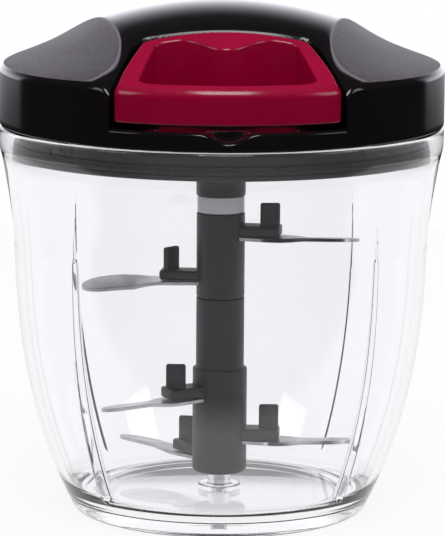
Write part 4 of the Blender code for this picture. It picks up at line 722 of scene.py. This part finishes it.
knot_path = []
for i in range(72):
    a = math.tau * i / 72
    knot_path.append((0.00044 * (math.sin(a) + 2.0 * math.sin(2 * a)), -0.0388 - 0.00044 * math.sin(3 * a) * 1.1,
                      cord_level + 0.00044 * (math.cos(a) - 2.0 * math.cos(2 * a))))
knot_path = np.array(knot_path)
heading = np.roll(knot_path, -1, axis=0) - np.roll(knot_path, 1, axis=0)
loops = []
for point, ahead in zip(knot_path, heading):
    ahead = ahead / np.linalg.norm(ahead)
    side = np.cross(ahead, point - np.array((0.0, -0.0388, cord_level)))
    side = side / np.linalg.norm(side)
    up = np.cross(ahead, side)
    loops.append([tuple(point + 0.00085 * (math.cos(a) * side + math.sin(a) * up))
                  for a in (math.tau * j / 14 for j in range(14))])
knot = drawn("pull_cord_knot", loops, ring=True)

# Braided nylon shows crossing strands of about 0.5 mm, white, with painted shade greying the gaps between them, and no
# gloss.
braided_nylon, tree, place = new_finish("braided_white_nylon")
lean = add_node(tree, "ShaderNodeMapping", {"Vector": place, "Rotation": (0.6, 0.5, 0.785)})
strand = add_node(tree, "ShaderNodeTexWave", {"Vector": lean.outputs["Vector"], "Scale": 620.0, "Distortion": 0.4})
back_lean = add_node(tree, "ShaderNodeMapping", {"Vector": place, "Rotation": (-0.6, 0.5, -0.785)})
cross_strand = add_node(tree, "ShaderNodeTexWave", {"Vector": back_lean.outputs["Vector"], "Scale": 620.0,
                                                    "Distortion": 0.4})
weave = add_node(tree, "ShaderNodeMath", {0: strand.outputs["Fac"], 1: cross_strand.outputs["Fac"]},
                 operation="MAXIMUM")
# Painted shade: the low parts of the weave are greyed (A8A6A2) to stand in for shadow between the strands.
weave_tint_with_gap_shade = add_node(tree, "ShaderNodeValToRGB", {"Fac": weave.outputs["Value"]})
weave_tint_with_gap_shade.color_ramp.elements[0].position = 0.35
weave_tint_with_gap_shade.color_ramp.elements[0].color = linear("A8A6A2")
weave_tint_with_gap_shade.color_ramp.elements[1].position = 0.9
weave_tint_with_gap_shade.color_ramp.elements[1].color = linear("EFEDE8")
weave_bump = add_node(tree, "ShaderNodeBump", {"Height": weave.outputs["Value"], "Strength": 0.7, "Distance": 0.0002})
skin = add_node(tree, "ShaderNodeBsdfPrincipled", {
    "Base Color": weave_tint_with_gap_shade.outputs["Color"], "IOR": 1.53, "Roughness": 0.78, "Sheen Weight": 0.2,
    "Normal": weave_bump.outputs["Normal"]})
add_node(tree, "ShaderNodeOutputMaterial", {"Surface": skin.outputs["BSDF"]})
mount(winding, braided_nylon, "spool", "cord_winding", 60.0)
mount(lead, braided_nylon, None, "cord_lead", 60.0)
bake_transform(lead)
mount(knot, braided_nylon, "pull_handle", "cord_knot", 60.0)

# Cord eyelet
# A grey acetal bush is snapped into the pocket's rear wall and keeps the cord off the lid's edge.

eyelet = spun("cord_eyelet_bush", eased([
    (0.0036, 0.0035, 0.0004), (0.0036, 0.0026, 0.0002), (0.0026, 0.0026, 0), (0.0026, 0.0, 0.0002),
    (0.0015, 0.0, 0.0005), (0.0015, 0.0035, 0.0006)], 5), 48)
bpy.ops.object.select_all(action="DESELECT")
eyelet.select_set(True)
bpy.context.view_layer.objects.active = eyelet
eyelet.rotation_euler = (-math.pi / 2.0, 0.0, 0.0)
eyelet.location = (0.0, -0.0316, cord_level)
bpy.ops.object.transform_apply(location=True, rotation=True, scale=True)
mount(eyelet, acetal, "lid", "cord_eyelet")


# Pull handle
# The two-finger pull is a ring of burgundy ABS that slides out of the pocket on two rails. Its top
# follows the dome, its front edge is rounded full, and two lobes in the opening fit the fingers.

def ring_outline(sides, counts, corner):
    """Closed outline of four sides, each a function of a share, with bends at its corners."""
    points = []
    for k, side in enumerate(sides):
        after = sides[(k + 1) % 4]
        points += [side(t) for t in np.linspace(corner, 1.0 - corner, counts[k])]
        a, b, c = side(1.0 - corner), side(1.0), after(corner)
        for t in np.linspace(0.0, 1.0, 12)[1:-1]:
            points.append(tuple((1 - t) ** 2 * p + 2 * t * (1 - t) * q + t * t * s for p, q, s in zip(a, b, c)))
    return np.array(points)


def handle_sides(radius, front_half, rear_half, rear_line):
    """Front arc, straight flanks and rear line of one of the handle's outlines."""
    half_turn = math.degrees(math.asin(front_half / radius))
    corner = around(radius, half_turn)

    def front(t):
        return around(radius, half_turn * (2.0 * t - 1.0))

    def rear(t):
        x = rear_half * (1.0 - 2.0 * t)
        return x, rear_line(x)

    def right(t):
        return tuple(a + (b - a) * t for a, b in zip(corner, rear(0.0)))

    def left(t):
        x, y = right(1.0 - t)
        return -x, y

    return front, right, rear, left


outer = ring_outline(handle_sides(0.0645, 0.0317, 0.0232, lambda x: -0.0334 - 0.0012 * (x / 0.0232) ** 2),
                     (64, 24, 64, 24), 0.05)
opening = ring_outline(handle_sides(0.0613, 0.0249, 0.0196, lambda x: -0.0370 - 0.0072 * (
    0.5 + 0.5 * math.cos(math.pi * min(abs(x) / (0.0196 * 0.68), 1.0)))), (64, 24, 64, 24), 0.10)


def inward(outline):
    """Unit directions towards the inside of an outline that runs anticlockwise."""
    run = np.roll(outline, -1, axis=0) - np.roll(outline, 1, axis=0)
    run /= np.linalg.norm(run, axis=1)[:, None]
    return np.stack([-run[:, 1], run[:, 0]], axis=1)


def handle_row(outline, sense, shift, drop, top):
    """One row of the handle's skin: shifted into the material, and dropped from its top or raised from its foot."""
    plan = outline + inward(outline) * sense * shift[:, None]
    crown = dome(plan[:, 0], plan[:, 1]) - 0.0008
    height = crown - drop if top else 0.1220 + drop
    return [tuple(p) for p in np.column_stack([plan, height])]


front_weight = np.clip((-outer[:, 1] - 0.0480) / 0.0080, 0.0, 1.0)
outer_round = 0.0008 + 0.0013 * front_weight ** 2 * (3 - 2 * front_weight)
inner_round = np.full(len(opening), 0.0009)
foot_round = np.full(len(outer), 0.0007)
quarter = np.linspace(0.0, math.pi / 2, 8)
rows = []
for a in quarter:
    rows.append(handle_row(opening, -1.0, foot_round * (1 - math.sin(a)), foot_round * (1 - math.cos(a)), False))
for share in (0.25, 0.5, 0.75):
    low = handle_row(opening, -1.0, foot_round * 0.0, foot_round, False)
    high = handle_row(opening, -1.0, inner_round * 0.0, inner_round, True)
    rows.append([tuple(np.array(p) + (np.array(q) - np.array(p)) * share) for p, q in zip(low, high)])
for a in quarter:
    rows.append(handle_row(opening, -1.0, inner_round * (1 - math.cos(a)), inner_round * (1 - math.sin(a)), True))
for a in quarter:
    rows.append(handle_row(outer, 1.0, outer_round * (1 - math.sin(a)), outer_round * (1 - math.cos(a)), True))
for share in (0.25, 0.5, 0.75):
    high = handle_row(outer, 1.0, outer_round * 0.0, outer_round, True)
    low = handle_row(outer, 1.0, foot_round * 0.0, foot_round, False)
    rows.append([tuple(np.array(p) + (np.array(q) - np.array(p)) * share) for p, q in zip(high, low)])
for a in quarter:
    rows.append(handle_row(outer, 1.0, foot_round * (1 - math.cos(a)), foot_round * (1 - math.sin(a)), False))
handle = drawn("pull_handle_moulding", rows, ring=True)
fit_in(handle, column("knot_room", 0.0028, 0.1180, 0.1300, 40, 0.05, (0.0, -0.0388)), "DIFFERENCE")
bpy.ops.object.select_all(action="DESELECT")
bpy.ops.mesh.primitive_cylinder_add(vertices=32, radius=0.0014, depth=0.0094,
                                    location=(0.0, -0.0341, cord_level), rotation=(math.pi / 2, 0.03, 0.0))
bpy.ops.object.transform_apply(location=True, rotation=True, scale=True)
fit_in(handle, bpy.context.object, "DIFFERENCE")

# Glossy burgundy ABS: saturated in the light, wine-dark in its hollows, with crisp pale highlights.
burgundy_abs, tree, place = new_finish("moulded_burgundy_abs")
depth_noise = add_node(tree, "ShaderNodeTexNoise", {"Vector": place, "Scale": 70.0, "Detail": 2.0})
wine = add_node(tree, "ShaderNodeValToRGB", {"Fac": depth_noise.outputs["Fac"]})
wine.color_ramp.elements[0].color = linear("96002F")
wine.color_ramp.elements[1].color = linear("A8003A")
wine_hair = add_node(tree, "ShaderNodeTexNoise", {"Vector": place, "Scale": 500.0, "Detail": 5.0})
wine_rough = add_node(tree, "ShaderNodeMapRange", {"Value": wine_hair.outputs["Fac"], "To Min": 0.12, "To Max": 0.22})
wine_bump = add_node(tree, "ShaderNodeBump", {"Height": depth_noise.outputs["Fac"], "Strength": 0.06, "Distance": 0.0002})
skin = add_node(tree, "ShaderNodeBsdfPrincipled", {
    "Base Color": wine.outputs["Color"], "IOR": 1.54, "Roughness": wine_rough.outputs["Result"],
    "Normal": wine_bump.outputs["Normal"]})
add_node(tree, "ShaderNodeOutputMaterial", {"Surface": skin.outputs["BSDF"]})
mount(handle, burgundy_abs, "pull_handle", "handle", 40.0)


# Floor
# A round white table that fades into the white room behind it.

bpy.ops.object.select_all(action="DESELECT")
bpy.ops.mesh.primitive_circle_add(vertices=96, radius=0.5, fill_type="NGON", location=(0.0, 0.0, -0.0001))
table_top = bpy.context.object
table_top.name = "table_top"
table_paint, tree, place = new_finish("white_table_paint")
matt = add_node(tree, "ShaderNodeBsdfDiffuse", {"Color": linear("F7F6F8")})
path = add_node(tree, "ShaderNodeLightPath")
spot = add_node(tree, "ShaderNodeSeparateXYZ", {"Vector": place})
rear = add_node(tree, "ShaderNodeMapRange", {"Value": spot.outputs["Y"], "From Min": -0.13, "From Max": -0.09},
                interpolation_type="SMOOTHSTEP")
mirrored = add_node(tree, "ShaderNodeMath", {0: rear.outputs["Result"], 1: path.outputs["Is Glossy Ray"]},
                    operation="MULTIPLY")
rear = add_node(tree, "ShaderNodeMapRange", {"Value": rear.outputs["Result"], "To Min": 0.40, "To Max": 1.0})
bent = add_node(tree, "ShaderNodeMath", {0: rear.outputs["Result"], 1: path.outputs["Is Transmission Ray"]},
                operation="MULTIPLY")
light = add_node(tree, "ShaderNodeMath", {0: mirrored.outputs["Value"], 1: bent.outputs["Value"]}, operation="MAXIMUM")
light = add_node(tree, "ShaderNodeMath", {0: path.outputs["Is Camera Ray"], 1: light.outputs["Value"]},
                 operation="MAXIMUM")
glow = add_node(tree, "ShaderNodeEmission", {"Color": (1.0, 1.0, 1.0, 1.0), "Strength": light.outputs["Value"]})
share = add_node(tree, "ShaderNodeMapRange", {"Value": light.outputs["Value"], "To Min": 0.88, "To Max": 0.90})
mixed = add_node(tree, "ShaderNodeMixShader", {0: share.outputs["Result"], 1: matt.outputs["BSDF"],
                                               2: glow.outputs["Emission"]})
add_node(tree, "ShaderNodeOutputMaterial", {"Surface": mixed.outputs["Shader"]})
table_top.data.materials.append(table_paint)


# Room, lamps and camera
# The room is white where it is seen, dark in front of the object, and softly lit from above.

room = bpy.data.worlds.new("white_room")
bpy.context.scene.world = room
room.use_nodes = True
tree = room.node_tree
tree.nodes.clear()
toward = add_node(tree, "ShaderNodeTexCoord").outputs["Generated"]
part = add_node(tree, "ShaderNodeSeparateXYZ", {"Vector": toward})
behind = add_node(tree, "ShaderNodeMapRange", {"Value": part.outputs["Y"], "From Min": 0.56, "From Max": 0.66},
                  interpolation_type="SMOOTHSTEP")
low = add_node(tree, "ShaderNodeMapRange", {"Value": part.outputs["Z"], "From Min": 0.08, "From Max": 0.50,
                                            "To Min": 1.0, "To Max": 0.0}, interpolation_type="SMOOTHSTEP")
level = add_node(tree, "ShaderNodeMapRange", {"Value": part.outputs["Z"], "From Min": -0.16, "From Max": -0.04},
                 interpolation_type="SMOOTHSTEP")
mirror = add_node(tree, "ShaderNodeMath", {0: behind.outputs["Result"], 1: low.outputs["Result"]},
                  operation="MULTIPLY")
mirror = add_node(tree, "ShaderNodeMath", {0: mirror.outputs["Value"], 1: level.outputs["Result"]},
                  operation="MULTIPLY")
mirror = add_node(tree, "ShaderNodeMapRange", {"Value": mirror.outputs["Value"], "To Min": 0.03, "To Max": 2.2})
sideways = add_node(tree, "ShaderNodeMath", {0: part.outputs["X"]}, operation="ABSOLUTE")
through = add_node(tree, "ShaderNodeMapRange", {"Value": sideways.outputs["Value"], "From Min": 0.50, "From Max": 0.92,
                                                "To Min": 1.0, "To Max": 0.62}, interpolation_type="SMOOTHSTEP")
ahead = add_node(tree, "ShaderNodeMapRange", {"Value": part.outputs["Y"], "From Min": -0.60, "From Max": 0.05,
                                              "To Min": 0.70, "To Max": 1.0}, interpolation_type="SMOOTHSTEP")
through = add_node(tree, "ShaderNodeMath", {0: through.outputs["Result"], 1: ahead.outputs["Result"]},
                   operation="MULTIPLY")
overhead = add_node(tree, "ShaderNodeMapRange", {"Value": part.outputs["Z"], "From Min": 0.30, "From Max": 0.95,
                                                 "To Min": 0.08, "To Max": 1.25}, interpolation_type="SMOOTHSTEP")
ray = add_node(tree, "ShaderNodeLightPath")
seen_room = add_node(tree, "ShaderNodeBackground", {"Color": (1.0, 1.0, 1.0, 1.0), "Strength": 1.0})
lit_room = add_node(tree, "ShaderNodeBackground", {"Color": linear("F8F7FB"),
                                                   "Strength": overhead.outputs["Result"]})
mirrored_room = add_node(tree, "ShaderNodeBackground", {"Color": linear("EFECF4"),
                                                        "Strength": mirror.outputs["Result"]})
bent_room = add_node(tree, "ShaderNodeBackground", {"Color": linear("FEFDFF"), "Strength": through.outputs["Value"]})
shown = add_node(tree, "ShaderNodeMixShader", {0: ray.outputs["Is Glossy Ray"], 1: lit_room.outputs["Background"],
                                               2: mirrored_room.outputs["Background"]})
shown = add_node(tree, "ShaderNodeMixShader", {0: ray.outputs["Is Transmission Ray"], 1: shown.outputs["Shader"],
                                               2: bent_room.outputs["Background"]})
shown = add_node(tree, "ShaderNodeMixShader", {0: ray.outputs["Is Camera Ray"], 1: shown.outputs["Shader"],
                                               2: seen_room.outputs["Background"]})
add_node(tree, "ShaderNodeOutputWorld", {"Surface": shown.outputs["Shader"]})

for name, spot, size, power in (("lamp_above", (0.0, -0.62, 0.98), 0.42, 3.6),
                                ("lamp_left", (-0.75, -0.45, 0.55), 0.35, 0.9),
                                ("lamp_right", (0.75, -0.40, 0.50), 0.35, 0.9)):
    lamp = bpy.data.lights.new(name, "AREA")
    lamp.shape = "SQUARE"
    lamp.size = size
    lamp.energy = power
    holder = bpy.data.objects.new(name, lamp)
    bpy.context.scene.collection.objects.link(holder)
    holder.location = spot
    aim = bpy.context.scene.cursor.location - holder.location
    aim.z += 0.09
    holder.rotation_euler = aim.to_track_quat("-Z", "Y").to_euler()

from mathutils import Matrix

view = bpy.data.cameras.new("photo_view")
view.lens = 231.5
view.sensor_width = 36.0
view.clip_start = 0.05
view.clip_end = 20.0
camera = bpy.data.objects.new("photo_view", view)
bpy.context.scene.collection.objects.link(camera)
camera.matrix_world = (Matrix.Rotation(math.radians(-1.8), 4, "Z") @ Matrix.Translation((0.000581, -1.0, 0.253986))
                       @ Matrix.Rotation(math.radians(90.0 - 10.37), 4, "X") @ Matrix.Rotation(0.007, 4, "Z"))
bpy.context.scene.camera = camera
bpy.context.scene.view_settings.view_transform = "Standard"
